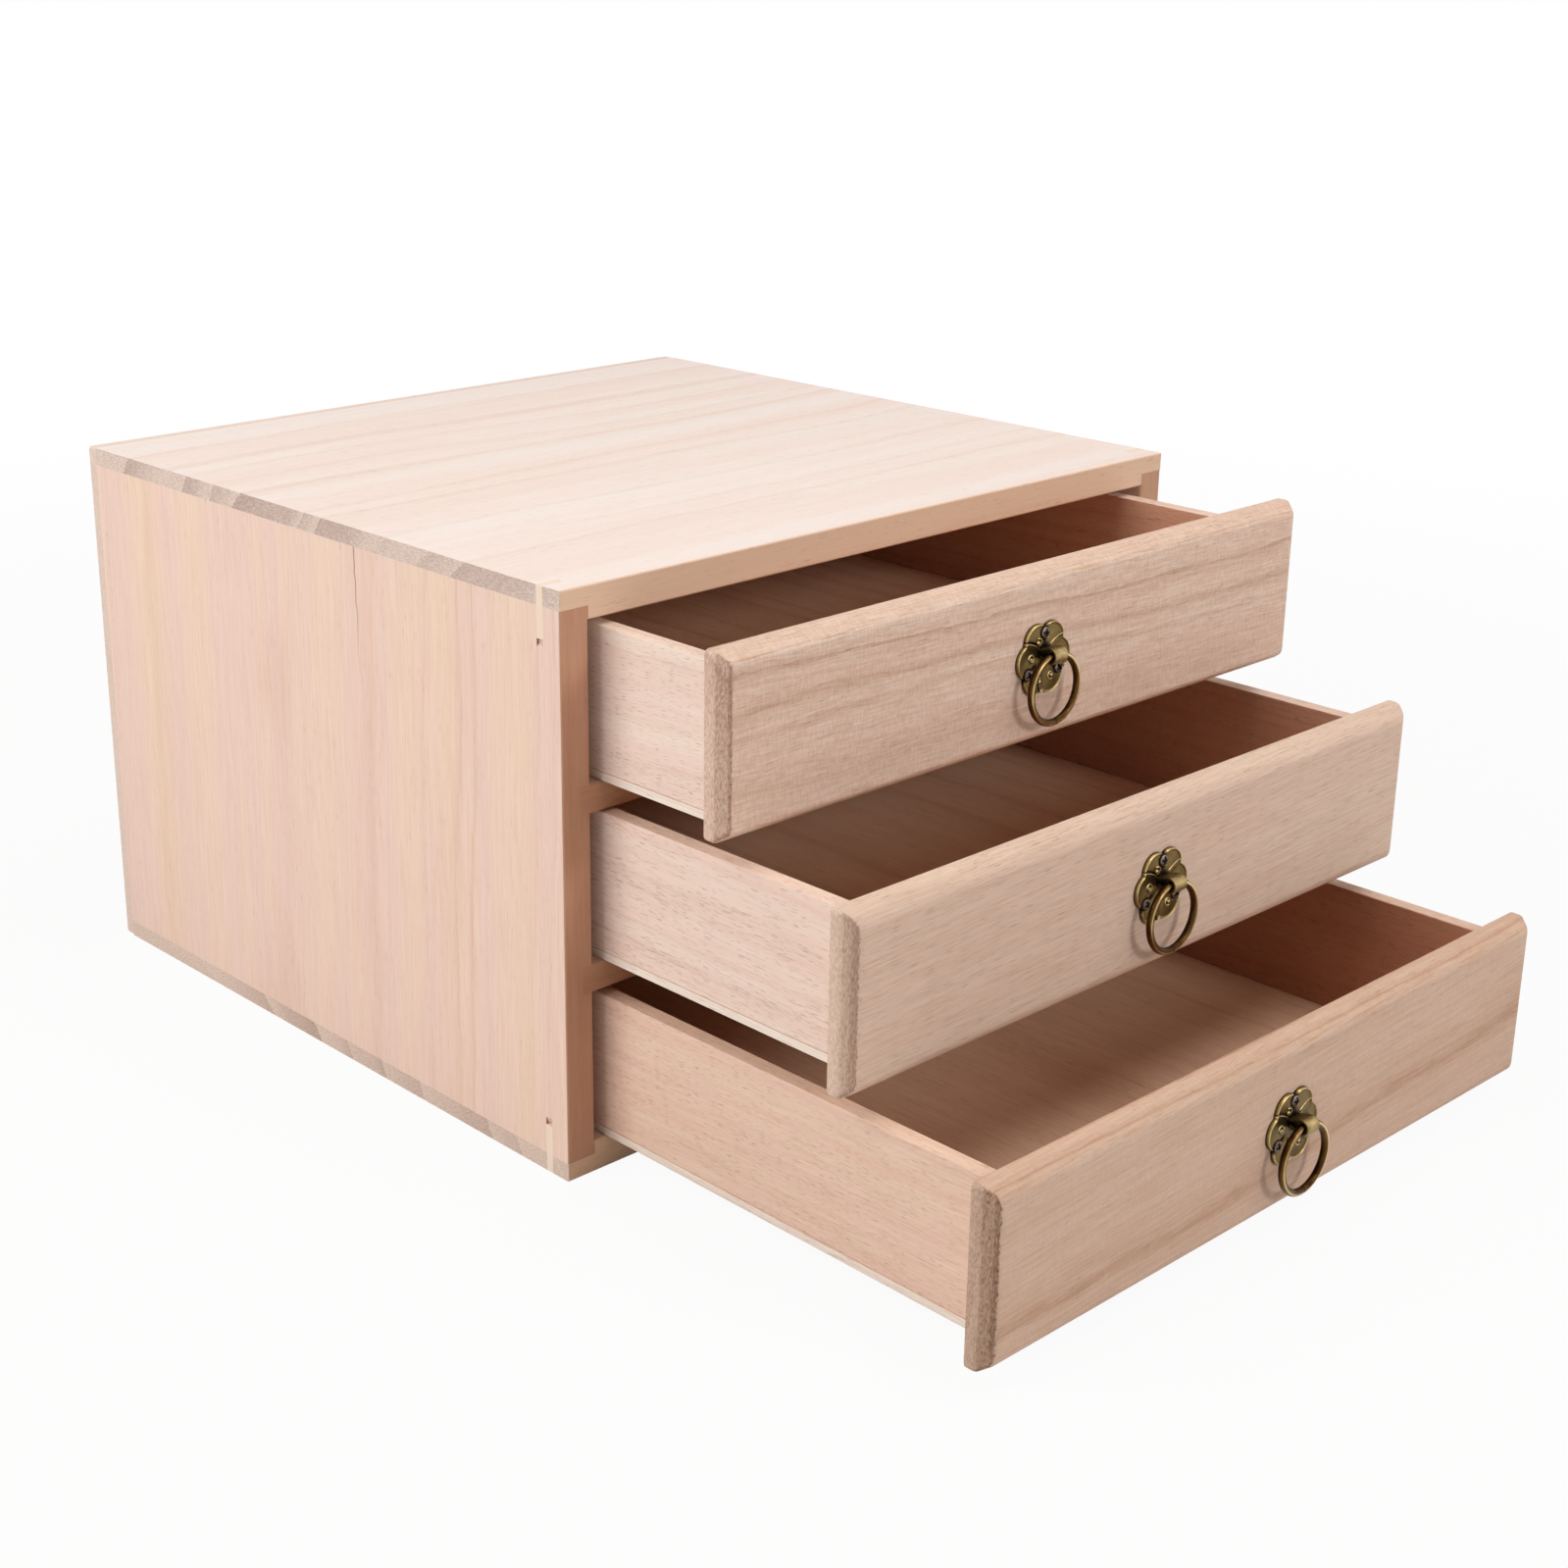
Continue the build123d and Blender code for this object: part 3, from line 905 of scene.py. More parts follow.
@dataclass(frozen=True)
class Case:
    """The case: boards, shelves, back panel, pins and corner keys, as the frame gives them."""

    # The lid's ground is paler than the sides': partly painted light, for the top that takes the most light.
    lid: PaulowniaFinish = PaulowniaFinish(
        "sanded_paulownia_lid", Cut.LID, pith=(-190.0, 60.0), pale="#F0E3DB", rosy="#EFDCD2", late="#E0C4B1",
        edge="#E9C6A8", edge_strength=0.9, end="#E4D0C2", end_late="#B0978D", end_rings=0.65,
        ring_spacing=19.0, ring_strength=0.42, wander=13.0, band_width=20.0, pore_cover=0.11,
        fibre_strength=0.26, relief=0.02, seed=1.0)
    base: PaulowniaFinish = PaulowniaFinish(
        "sanded_paulownia_base", Cut.LID, pith=(120.0, -80.0), pale="#E8CDB8", rosy="#E6C8B4", late="#D2AC90",
        edge="#E2BE9F", edge_strength=0.9, end="#E5CFBF", end_late="#B79B8C", end_rings=0.7,
        ring_spacing=24.0, seed=2.0)
    # The left side's front edge is darker, partly as the wood of the edge and partly as painted shade from
    # the drawers in front of it.
    left: PaulowniaFinish = PaulowniaFinish(
        "sanded_paulownia_left_side", Cut.SIDE, pith=(40.0, 60.0), pale="#EFD5C0", rosy="#EDD1C4",
        late="#D9B094", edge="#C08F70", edge_strength=0.9, ring_spacing=11.0, ring_strength=0.5, wander=8.0,
        lean=-0.8, band_width=20.0, fibre_strength=0.36, pore_cover=0.1, pore_strength=0.25, relief=0.03,
        fissure=Fissure(start=207.0, end=150.0, offset=-40.3, slope=0.037), seed=3.0)
    right: PaulowniaFinish = PaulowniaFinish(
        "sanded_paulownia_right_side", Cut.SIDE, pith=(-60.0, -70.0), pale="#ECD1B9", rosy="#EACBBC",
        late="#DAB399", edge="#C59676", edge_strength=0.9, ring_spacing=11.0, band_width=17.0, relief=0.03,
        seed=4.0)
    shelf: PaulowniaFinish = PaulowniaFinish(
        "planed_paulownia_shelf", Cut.LID, pith=(30.0, 70.0), pale="#DDBCA2", rosy="#DAB59B", late="#BB8F70",
        edge="#C29273", edge_strength=0.9, seed=5.0)
    panel: PaulowniaFinish = PaulowniaFinish(
        "thin_paulownia_back_panel", Cut.FRONT, pith=(60.0, 300.0), pale="#E6CEBC", rosy="#E4C9B8",
        late="#CDAA91", edge="#EDDCD0", end="#E6D0C2", end_late="#CDB3A4", ring_spacing=9.0, seed=6.0)
    key: PaulowniaFinish = PaulowniaFinish(
        "pale_wood_key", Cut.SIDE, pith=(0.0, 400.0), pale="#F1DFCB", rosy="#EFDAC6", late="#E3C9AE",
        edge="#E8CDB2", end="#EFDCC6", end_late="#DCC6AC", ring_spacing=3.0, ring_strength=0.2,
        pore_cover=0.0, relief=0.02, seed=8.0)
    pins: BlackenedSteelFinish = BlackenedSteelFinish("bright_steel_pins", dark="#8C8882", worn="#B9B5AE")

    def dress(self) -> None:
        """Gives each of the case's pieces its own wood or metal."""
        finishes = {
            "top_board": self.lid,
            "bottom_board": self.base,
            "left_side": self.left,
            "right_side": self.right,
            "upper_shelf": self.shelf,
            "lower_shelf": replace(self.shelf, name="planed_paulownia_lower_shelf", seed=5.5),
            "back_panel": self.panel,
            "corner_keys": self.key,
            "back_panel_pins": self.pins,
        }
        for node, finish in finishes.items():
            paint(node, finish.build())


@dataclass(frozen=True)
class Drawer:
    """One drawer: a bevelled front with rounded edges, and the box behind it. Lengths are in metres."""

    name: str
    shoulder: float
    crease: float
    front_wood: PaulowniaFinish
    side_wood: PaulowniaFinish
    bevel_depth: float = 5.2 * MM
    bevel_width: float = 3.4 * MM
    back_edge: float = 0.6 * MM
    corner: float = 1.8 * MM
    board_edge: float = 0.5 * MM
    # The floor's upper face takes a painted shade: a warm, slightly darker tint.
    tray_wood: PaulowniaFinish = PaulowniaFinish(
        "thin_paulownia_drawer_floor", Cut.FLOOR, pith=(20.0, 150.0), pale="#F4E2D0", rosy="#F1DBC9",
        late="#D3AC8E", edge="#F3E6DA", edge_strength=1.0, end="#E6DACA", end_late="#CDBCA9",
        ring_spacing=16.0, ring_strength=0.4, fibre_strength=0.35, inside=(0.0, 0.0, 1.0),
        painted_inside_shade="#FFEADA")

    def front_surface(self) -> Surface:
        """The front: rounded rectangles drawn in along a profile of back edge, side, bevel and face.

        Returns:
            The closed surface of the bevelled front.
        """
        low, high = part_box(f"{self.name}_drawer_front")
        centre = (low + high) / 2
        half = ((high.x - low.x) / 2, (high.z - low.z) / 2)
        depth = high.y - low.y
        border = 4 * MM
        profile = eased(
            [(border, 0), (0, 0), (0, depth - self.bevel_depth), (self.bevel_width, depth),
             (self.bevel_width + border, depth)],
            [0, self.back_edge, self.shoulder, self.crease, 0], steps=7)
        outline = round_rectangle(half, profile[:, 0], np.full(len(profile), self.corner))
        grid = np.empty(outline.shape[:2] + (3,))
        grid[..., 0] = centre.x + outline[..., 0]
        grid[..., 1] = high.y - profile[:, 1][:, None]
        grid[..., 2] = centre.z + outline[..., 1]
        back = np.array([centre.x, high.y, centre.z])
        face = np.array([centre.x, low.y, centre.z])
        return Surface.pole_to_pole(grid, back, face).outward()

    def make(self) -> None:
        """Makes and dresses the drawer's wooden pieces, each box wall given a painted shade on its inner
        side.
        """
        body = f"{self.name}_drawer"
        front_node = f"{self.name}_drawer_front"
        front = self.front_surface().piece(
            f"{self.name}_bevelled_front", body, "paulownia", self.front_wood.build(), True)
        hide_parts(front_node)
        seed = self.side_wood.seed
        left = replace(self.side_wood, inside=(1.0, 0.0, 0.0))
        right = replace(self.side_wood, name=f"sanded_paulownia_{self.name}_right_side",
                        inside=(-1.0, 0.0, 0.0), seed=seed + 0.3)
        back = replace(self.side_wood, name=f"sanded_paulownia_{self.name}_back", cut=Cut.FRONT,
                       inside=(0.0, -1.0, 0.0), seed=seed + 0.5)
        for part, finish in (("left_side", left), ("right_side", right), ("back", back)):
            node = f"{self.name}_drawer_{part}"
            board = eased_board(*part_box(node), self.board_edge).piece(
                f"{self.name}_eased_{part}", body, "paulownia", finish.build(), True)
            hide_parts(node)
        tray = replace(self.tray_wood, name=f"thin_paulownia_{self.name}_floor", seed=seed + 10)
        paint(f"{self.name}_drawer_bottom", tray.build())


SIDE_WOOD = PaulowniaFinish(
    "sanded_paulownia_side", Cut.RAIL, pith=(0.0, 0.0), pore_cover=0.17, pore_length=4.0, pore_strength=0.4,
    ring_strength=0.3)

# The drawers' sides are copies of one wood that step darker from the upper drawer to the lower: painted shade
# for the light that falls off downwards.
DRAWERS = (
    Drawer(
        "upper", shoulder=3.2 * MM, crease=2.6 * MM,
        front_wood=PaulowniaFinish(
            "sawn_paulownia_upper_front", Cut.FRONT, pith=(-70.0, 40.0), pale="#F2D9C8", rosy="#F0D3C1",
            late="#C79B7D", edge="#E2C3AB", end="#E8CAB6", end_late="#A98570", ring_spacing=9.0,
            ring_fade=0.4, season_strength=0.12, wander=7.0, wander_length=150.0, wave=1.0, lean=-0.6,
            chatter=1.5, fibre_strength=0.42, fibre_length=14.0, pore_cover=0.15, relief=0.08, pits=0.3,
            crease_tan=0.5, seed=11.0),
        side_wood=replace(
            SIDE_WOOD, name="sanded_paulownia_upper_side", pith=(60.0, 90.0), pale="#F2DFD1", rosy="#F0D8CB",
            late="#D3AB91", lean=2.0, fibre_strength=0.22, seed=12.0)),
    Drawer(
        "middle", shoulder=4.4 * MM, crease=5.5 * MM,
        front_wood=PaulowniaFinish(
            "sawn_paulownia_middle_front", Cut.FRONT, pith=(90.0, 70.0), pale="#EAD2BF", rosy="#E9CDBA",
            late="#C09A7E", edge="#DDC0A9", end="#E6CAB6", end_late="#AC8C77", ring_spacing=12.0,
            ring_strength=0.25, season_strength=0.2, wander=4.0, lean=2.2, fibre_strength=0.38,
            pore_cover=0.175, pore_strength=0.44, pore_length=8.0, pore_width=0.22, relief=0.04, pits=0.2,
            seed=13.0),
        side_wood=replace(
            SIDE_WOOD, name="sanded_paulownia_middle_side", pith=(-50.0, 60.0), pale="#F0DBCD",
            rosy="#EFD4C6", late="#CEA48A", lean=-1.5, fibre_strength=0.25, seed=14.0)),
    Drawer(
        "lower", shoulder=3.2 * MM, crease=4.0 * MM,
        front_wood=PaulowniaFinish(
            "sawn_paulownia_lower_front", Cut.FRONT, pith=(110.0, 60.0), pale="#DDC1AC", rosy="#DABCA7",
            late="#B27C57", edge="#D2B097", end="#CFB09B", end_late="#8B6A52", ring_spacing=6.8,
            ring_strength=0.8, ring_fade=0.16, ring_rise=0.9, ring_least=0.45, season_strength=0.08,
            season_swing=0.5, wander=4.0, lean=2.6, chatter=0.6, fray=0.5, pits=0.55, crease_tan=0.45,
            seed=15.0),
        side_wood=replace(
            SIDE_WOOD, name="sanded_paulownia_lower_side", pith=(40.0, 80.0), pale="#EBCEB9", rosy="#E9C7B4",
            late="#C49375", lean=1.5, ring_strength=0.35, fibre_strength=0.28, seed=16.0)),
)


def hump(distance: np.ndarray, width: float | np.ndarray) -> np.ndarray:
    """A bell curve over a distance: 1 in its middle, and about a third at its width."""
    return np.exp(-(distance / width) ** 2)


def rise(value: np.ndarray, start: float, length: float) -> np.ndarray:
    """0 up to a start, and from there evenly up to 1 over a length."""
    return np.clip((value - start) / length, 0, 1)


def off_angle(angle: np.ndarray, centre: float) -> np.ndarray:
    """How far an angle is from a centre, between minus and plus half a turn."""
    return (angle - centre + pi) % (2 * pi) - pi


def around(radius: np.ndarray, y: np.ndarray | float, angle: np.ndarray) -> np.ndarray:
    """Points about the Y axis at given radii, depths and angles, shaped (rows, columns, 3)."""
    x, z = radius * np.cos(angle), radius * np.sin(angle)
    return np.stack([x, np.broadcast_to(y, x.shape), z], -1)


@dataclass(frozen=True)
class Stamp:
    """One kind of stamped mark: its width and height in millimetres, and how much it adds to the rubbing."""

    width: float
    height: float
    rub: float


@dataclass
class RingPull:
    """A ring pull: lobed plate, bent strap, wire ring and three screws. Lengths are in millimetres."""

    drawer: str
    lobes: int = 6
    tip_radius: float = 14.2
    notch_radius: float = 12.0
    sheet: float = 1.0
    rim: Stamp = Stamp(0.28, 0.55, 0.42)
    rim_inset: float = 0.45
    crown: float = 0.35
    crown_radius: float = 8.5
    crown_reach: float = 4.5
    wedge: Stamp = Stamp(0.35, -0.5, -0.55)
    wedge_flare: float = 0.09
    lips: Stamp = Stamp(0.35, 0.1, 0.2)
    lips_apart: float = 1.9
    lap_angles: tuple[int, ...] = (30, 150, 270)
    lap_bend: float = 0.05
    lap_offset: float = 0.3
    ditch_offset: float = 0.32
    lap: Stamp = Stamp(0.22, 0.26, 0.42)
    ditch: Stamp = Stamp(0.34, -0.4, -0.6)
    curls: tuple[tuple[float, float], ...] = ((8, 7.4), (117, 7.0), (172, 7.0), (250, 8.3), (300, 7.6))
    curl_start: float = 0.7
    curl_pitch: float = 0.17
    moat_radius: float = 1.1
    coil: Stamp = Stamp(0.24, 0.34, 0.5)
    bead: Stamp = Stamp(0.36, 0.4, 0.6)
    moat: Stamp = Stamp(0.75, -0.12, -0.3)
    boss_radius: float = 3.2
    boss_height: float = 0.3
    screw_circle: float = 9.5
    screw_angles: tuple[int, ...] = (90, 210, 330)
    head_radius: float = 2.15
    head_height: float = 1.4
    slot_half_width: float = 0.46
    slot_reach: float = 1.6
    slot_depth: float = 0.75
    shank: float = 0.5
    ring_radius: float = 12.5
    wire_radius: float = 1.35
    seam_angle: float = 1.52 * pi
    seam_width: float = 0.22
    seam_depth: float = 0.16
    strap_length: float = 6.5
    strap_wall: float = 1.1
    strap_edge: float = 0.42
    leg_gap: float = 0.6
    middle: Vector = field(init=False)
    face_y: float = field(init=False)
    ring_middle: Vector = field(init=False)
    strap_z: float = field(init=False)
    strap_reach: float = field(init=False)

    def __post_init__(self) -> None:
        """Reads where the plate's middle and the ring's axis lie from the frame."""
        low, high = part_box(f"{self.drawer}_pull_plate")
        self.middle = (low + high) / 2 / MM
        self.face_y = high.y / MM
        ring_low, ring_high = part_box(f"{self.drawer}_pull_ring")
        self.ring_middle = (ring_low + ring_high) / 2 / MM
        strap_low, strap_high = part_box(f"{self.drawer}_pull_strap")
        self.strap_z = (strap_low.z + strap_high.z) / 2 / MM
        self.strap_reach = (strap_high.z - strap_low.z) / 2 / MM

    def outline(self, angle: np.ndarray) -> np.ndarray:
        """The plate's edge: equal arcs, each through a lobe's tip and the two notches beside it.

        Args:
            angle: Angles about the plate's middle.

        Returns:
            The radius at each angle, where the ray from the middle leaves the nearest arc's circle.
        """
        half = pi / self.lobes
        across, along = self.notch_radius * sin(half), self.notch_radius * cos(half)
        centre = (self.tip_radius**2 - along**2 - across**2) / (2 * (self.tip_radius - along))
        arc = self.tip_radius - centre
        turn = (angle + half) % (2 * half) - half
        return centre * np.cos(turn) + np.sqrt(arc**2 - (centre * np.sin(turn)) ** 2)

    def relief(self, x: np.ndarray, z: np.ndarray) -> tuple[np.ndarray, np.ndarray]:
        """The plate's height over the wood, and how rubbed it is.

        The height is a flat sheet with petals that crown between the notches, a rim that follows the
        outline, a sunk wedge with a flat seat at each screw, a step where one petal laps the next, a curl
        on each petal and a boss under the strap. Each mark is a bell curve over the distance from its line.

        Args:
            x: Millimetres to the right of the plate's middle.
            z: Millimetres above it.

        Returns:
            The height in millimetres and the rubbing from 0 to 1.
        """
        radius, angle = np.hypot(x, z), np.arctan2(z, x)
        inside = self.outline(angle) - radius
        rim = hump(inside - self.rim_inset, self.rim.width)
        turn = (angle + pi / self.lobes) % (2 * pi / self.lobes) - pi / self.lobes
        crown = self.crown * np.cos(turn * self.lobes / 2)
        crown = crown * hump(radius - self.crown_radius, self.crown_reach)
        edge_share, edge_fall = 0.55, 0.4
        shoulder = edge_share + (1 - edge_share) * np.sqrt(rise(inside, 0, edge_fall))
        height = self.sheet * shoulder + self.rim.height * rim + crown
        flat_rub, crown_rub, usual_crown = 0.4, 0.3, 0.15
        rub = flat_rub + self.rim.rub * rim + crown_rub * (crown - usual_crown)
        outside_boss, wedge_ramp, lap_ramp = 3.5, 2.5, 2.0
        lips_start, lips_ramp = 6, 2
        seat_gap, seat_blur, seat_rub = 0.1, 0.3, 0.35
        for degrees in self.screw_angles:
            way = radians(degrees)
            side = np.abs(off_angle(angle, way)) * radius
            wedge = hump(side, self.wedge.width + self.wedge_flare * radius)
            wedge = wedge * rise(radius, outside_boss, wedge_ramp)
            lips = hump(side - self.lips_apart, self.lips.width) * rise(radius, lips_start, lips_ramp)
            seat = np.hypot(x - self.screw_circle * cos(way), z - self.screw_circle * sin(way))
            sunk = hump(np.clip(seat - self.head_radius - seat_gap, 0, None), seat_blur)
            height = height + self.wedge.height * wedge * (1 - sunk) + self.lips.height * lips
            height = height * (1 - sunk) + self.sheet * sunk
            rub = rub + self.wedge.rub * wedge - seat_rub * sunk + self.lips.rub * lips * (1 - sunk)
        for degrees in self.lap_angles:
            way = radians(degrees)
            bend = self.lap_bend * (self.tip_radius - radius) * np.sign(cos(way) or 1)
            off = off_angle(angle, way + bend) * radius
            reach = rise(radius, outside_boss, lap_ramp)
            lap = hump(off - self.lap_offset, self.lap.width) * reach
            ditch = hump(off + self.ditch_offset, self.ditch.width) * reach
            height = height + self.lap.height * lap + self.ditch.height * ditch
            rub = rub + self.lap.rub * lap + self.ditch.rub * ditch
        for degrees, distance in self.curls:
            way = radians(degrees)
            right, up = x - distance * cos(way), z - distance * sin(way)
            near = np.hypot(right, up)
            swing = (np.arctan2(up, right) - way) % (2 * pi)
            coil = hump(near - self.curl_start - self.curl_pitch * swing, self.coil.width)
            bead = hump(near, self.bead.width)
            moat = hump(near - self.moat_radius, self.moat.width) * (1 - coil)
            for mark, stamp in ((coil, self.coil), (bead, self.bead), (moat, self.moat)):
                height = height + stamp.height * mark
                rub = rub + stamp.rub * mark
        from_boss = np.hypot(x, z - (self.strap_z - self.middle.z)) - self.boss_radius
        boss_blur, boss_dulling, boss_rub = 0.8, 0.75, 0.02
        boss = hump(np.clip(from_boss, 0, None), boss_blur)
        height = height * (1 - boss) + (self.sheet + self.boss_height) * boss
        rub = rub * (1 - boss_dulling * boss) + boss_rub * boss
        return height, np.clip(rub, 0, 1)

    def plate_surface(self) -> Surface:
        """The plate: outlines from a flat back, round the lobed edge, and over the stamped face.

        Returns:
            The closed surface, with more of its rows near the edge, where the rim is.
        """
        columns, rows, crowding, covered = 540, 92, 1.15, 0.995
        angle = np.linspace(0, 2 * pi, columns, endpoint=False)[None, :]
        edge = self.outline(angle)
        radius = edge * (1 - np.linspace(0, 1, rows)[:, None] ** crowding * covered)
        height, rub = self.relief(radius * np.cos(angle), radius * np.sin(angle))
        back_shares, back_rubs = [[0.985], [1.0]], [[0.1], [0.2]]
        back = around(edge * np.array(back_shares), 0.0, angle)
        back_rub = np.broadcast_to(back_rubs, (2, columns))
        origin = np.array([self.middle.x, self.face_y, self.middle.z])
        grid = (np.concatenate([back, around(radius, -height, angle)], 0) + origin) * MM
        last = (origin + np.array([0, -height[-1].mean(), 0])) * MM
        worn = np.concatenate([back_rub, rub], 0)
        return Surface.pole_to_pole(grid, origin * MM, last, worn).outward()

    def ring_surface(self) -> Surface:
        """The ring: a round wire carried round a circle, pinched at the seam where its ends meet.

        Its front is brighter, partly rubbed and partly a painted highlight, which is strongest at its low
        right and over its right limb.
        Its flanks stay dark, partly patina and partly painted reflection.

        Returns:
            The closed surface.
        """
        turns, sides = 288, 28
        turn = np.linspace(0, 2 * pi, turns, endpoint=False)[:, None]
        round_wire = np.linspace(0, 2 * pi, sides, endpoint=False)[None, :]
        seam = self.seam_depth * hump(off_angle(turn, self.seam_angle) * self.ring_radius, self.seam_width)
        unevenness = 0.015 * np.sin(3 * turn + 1)
        wire = self.wire_radius * (1 + unevenness - seam)
        reach = self.ring_radius + wire * np.cos(round_wire)
        grid = np.stack([reach * np.cos(turn), wire * np.sin(round_wire), reach * np.sin(turn)], -1)
        # Painted highlight: the wire's front line is brightened, partly as rubbing, more at the low right and
        # over the right limb; the flanks stay dark, partly patina and partly painted reflection.
        shine_at, highlight_at, shine, halo = 1.5 * pi + 0.35, 1.68 * pi, 0.42, 0.9
        front = off_angle(round_wire, shine_at)
        highlight_strength, highlight_width, right_limb_highlight, right_falloff = 0.2, 0.45, 0.3, 6
        low_right_highlight = highlight_strength * hump(off_angle(turn, highlight_at), highlight_width)
        right = right_limb_highlight * np.cos(turn / 2) ** right_falloff
        dull, bright, seam_dirt = 0.12, 0.62, 3.0
        patches = 0.06 * np.sin(2 * turn + 0.5)
        rub = dull + (bright + low_right_highlight) * hump(front, shine) + right * hump(front, halo)
        rub = rub + patches - seam_dirt * seam
        return Surface.round_tube((grid + np.array(self.ring_middle)) * MM, np.clip(rub, 0, 1)).outward()

    def strap_surface(self) -> Surface:
        """The strap: a band rolled round the wire, with straight legs that meet at the plate.

        Its rounded section is carried along the middle of its wall: up one leg, round the roll and down the
        other. The borders of its outer face are raised and bright, and a painted glint lies on the roll's
        front.

        Returns:
            The closed surface.
        """
        middle = self.strap_reach - self.strap_wall / 2
        foot = self.face_y - self.sheet - self.ring_middle.y
        half_gap = (self.leg_gap + self.strap_wall) / 2
        slope = asin(middle / hypot(foot, half_gap)) - atan2(half_gap, foot)
        steps, roll_steps, corner_steps = 5, 33, 6
        turn = np.linspace(-pi / 2 - slope, pi / 2 + slope, roll_steps)
        leg = np.arange(steps) / steps
        leg_y = foot + (middle * sin(slope) - foot) * leg
        leg_z = half_gap + (middle * cos(slope) - half_gap) * leg
        y = np.concatenate([leg_y, -middle * np.cos(turn), leg_y[::-1]])
        z = np.concatenate([-leg_z, middle * np.sin(turn), leg_z[::-1]])
        out_y = np.concatenate([np.full(steps, sin(slope)), -np.cos(turn), np.full(steps, sin(slope))])
        out_z = np.concatenate([np.full(steps, -cos(slope)), np.sin(turn), np.full(steps, cos(slope))])
        half = (self.strap_length / 2, self.strap_wall / 2)
        section = round_rectangle(half, np.zeros(1), np.full(1, self.strap_edge), corner_steps)[0]
        share = np.abs(section[:, 0]) / half[0]
        outside = section[:, 1] > 0
        border_height, border_falloff = 0.22, 6
        raised_border = border_height * share**border_falloff * outside
        lift = (section[:, 1] + raised_border)[None, :]
        grid = np.stack([
            np.broadcast_to(section[:, 0], (len(y), len(section))),
            y[:, None] + lift * out_y[:, None], z[:, None] + lift * out_z[:, None]], -1)
        dull, hidden, behind, crown_rub = 0.12, 0.08, 0.35, 0.1
        border_start, border_rub, inner_share = 0.86, 0.5, 0.25
        border = border_rub * (share > border_start) * (inner_share + (1 - inner_share) * outside)
        rub = hidden + outside * (dull + crown_rub * np.cos(share * 3)) + border
        front = np.clip(behind - y / middle, 0, 1)[:, None]
        # Painted highlight: a glint brightens the outer face along the roll's front.
        glint_row, glint_rows, glint_width, painted_glint_strength = 21.5, 4.0, 0.4, 0.3
        along_band = hump(np.arange(len(y))[:, None] - glint_row, glint_rows)
        glint = painted_glint_strength * along_band * outside * hump(share, glint_width)
        worn = dull + (rub[None, :] - dull) * (behind + (1 - behind) * front) + glint
        grid = (grid + np.array([self.ring_middle.x, self.ring_middle.y, self.strap_z])) * MM
        return Surface.pole_to_pole(grid, grid[0].mean(0), grid[-1].mean(0), worn).outward()

    def screw_surface(self, degrees: float) -> Surface:
        """One screw: circles over a low dome and a short shank, with a sunk cross that tapers inwards.

        Args:
            degrees: Where the screw stands on the plate's circle. The cross is turned by its own amount for
            each.

        Returns:
            The closed surface, worn grey near the edge of the head.
        """
        columns, rows, innermost = 96, 26, 0.02
        angle = np.linspace(0, 2 * pi, columns, endpoint=False)[None, :]
        share = np.linspace(1, innermost, rows)[:, None]
        radius = self.head_radius * share
        brim, bulge = 0.3, 0.5
        dome = self.head_height * (brim + bulge * np.sqrt(np.clip(1 - share**2, 0, 1)))
        own_turn, first_turn = 1.7, 20
        tilt = radians(degrees * own_turn + first_turn)
        x, z = np.abs(radius * np.cos(angle - tilt)), np.abs(radius * np.sin(angle - tilt))
        arm, reach = np.minimum(x, z), np.maximum(x, z)
        slope_width, end_width = 0.16, 0.3
        cross = np.clip((self.slot_half_width - arm) / slope_width, 0, 1)
        cross = cross * np.clip((self.slot_reach - reach) / end_width, 0, 1)
        taper, dull, bright, worn_at, worn_width, cross_dirt = 0.25, 0.36, 0.34, 0.82, 0.12, 1.1
        height = dome - self.slot_depth * cross * (1 - taper * reach / self.slot_reach)
        worn = np.clip(dull + bright * hump(share - worn_at, worn_width) - cross_dirt * cross, 0, 1)
        skirt = around(np.full((1, 1), self.head_radius), self.shank, angle)
        grid = np.concatenate([skirt, around(radius, -height, angle)], 0)
        rub = np.concatenate([np.zeros_like(angle), worn], 0)
        origin = np.array([
            self.middle.x + self.screw_circle * cos(radians(degrees)),
            self.face_y - self.sheet,
            self.middle.z + self.screw_circle * sin(radians(degrees))])
        grid = (grid + origin) * MM
        first = (origin + np.array([0, self.shank, 0])) * MM
        return Surface.pole_to_pole(grid, first, grid[-1].mean(0), rub).outward()

    def make(self, brass: bpy.types.Material, strap_brass: bpy.types.Material, ring_brass: bpy.types.Material,
             steel: bpy.types.Material) -> None:
        """Makes the pull's pieces and puts them on the drawer and the ring's body.

        Args:
            brass: The finish of the plate.
            strap_brass: The finish of the strap.
            ring_brass: The finish of the ring.
            steel: The finish of the screws.
        """
        body = f"{self.drawer}_drawer"
        plate = self.plate_surface().piece(f"{self.drawer}_stamped_plate", body, "antique_brass", brass)
        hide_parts(f"{self.drawer}_pull_plate")
        strap = self.strap_surface().piece(f"{self.drawer}_bent_strap", body, "antique_brass", strap_brass)
        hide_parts(f"{self.drawer}_pull_strap")
        ring = self.ring_surface().piece(
            f"{self.drawer}_wire_ring", f"{self.drawer}_ring", "antique_brass", ring_brass)
        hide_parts(f"{self.drawer}_pull_ring")
        heads = self.screw_surface(self.screw_angles[0])
        for degrees in self.screw_angles[1:]:
            heads = heads.joined(self.screw_surface(degrees))
        screws = heads.piece(f"{self.drawer}_cross_screws", body, "steel", steel)
        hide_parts(f"{self.drawer}_pull_screws")


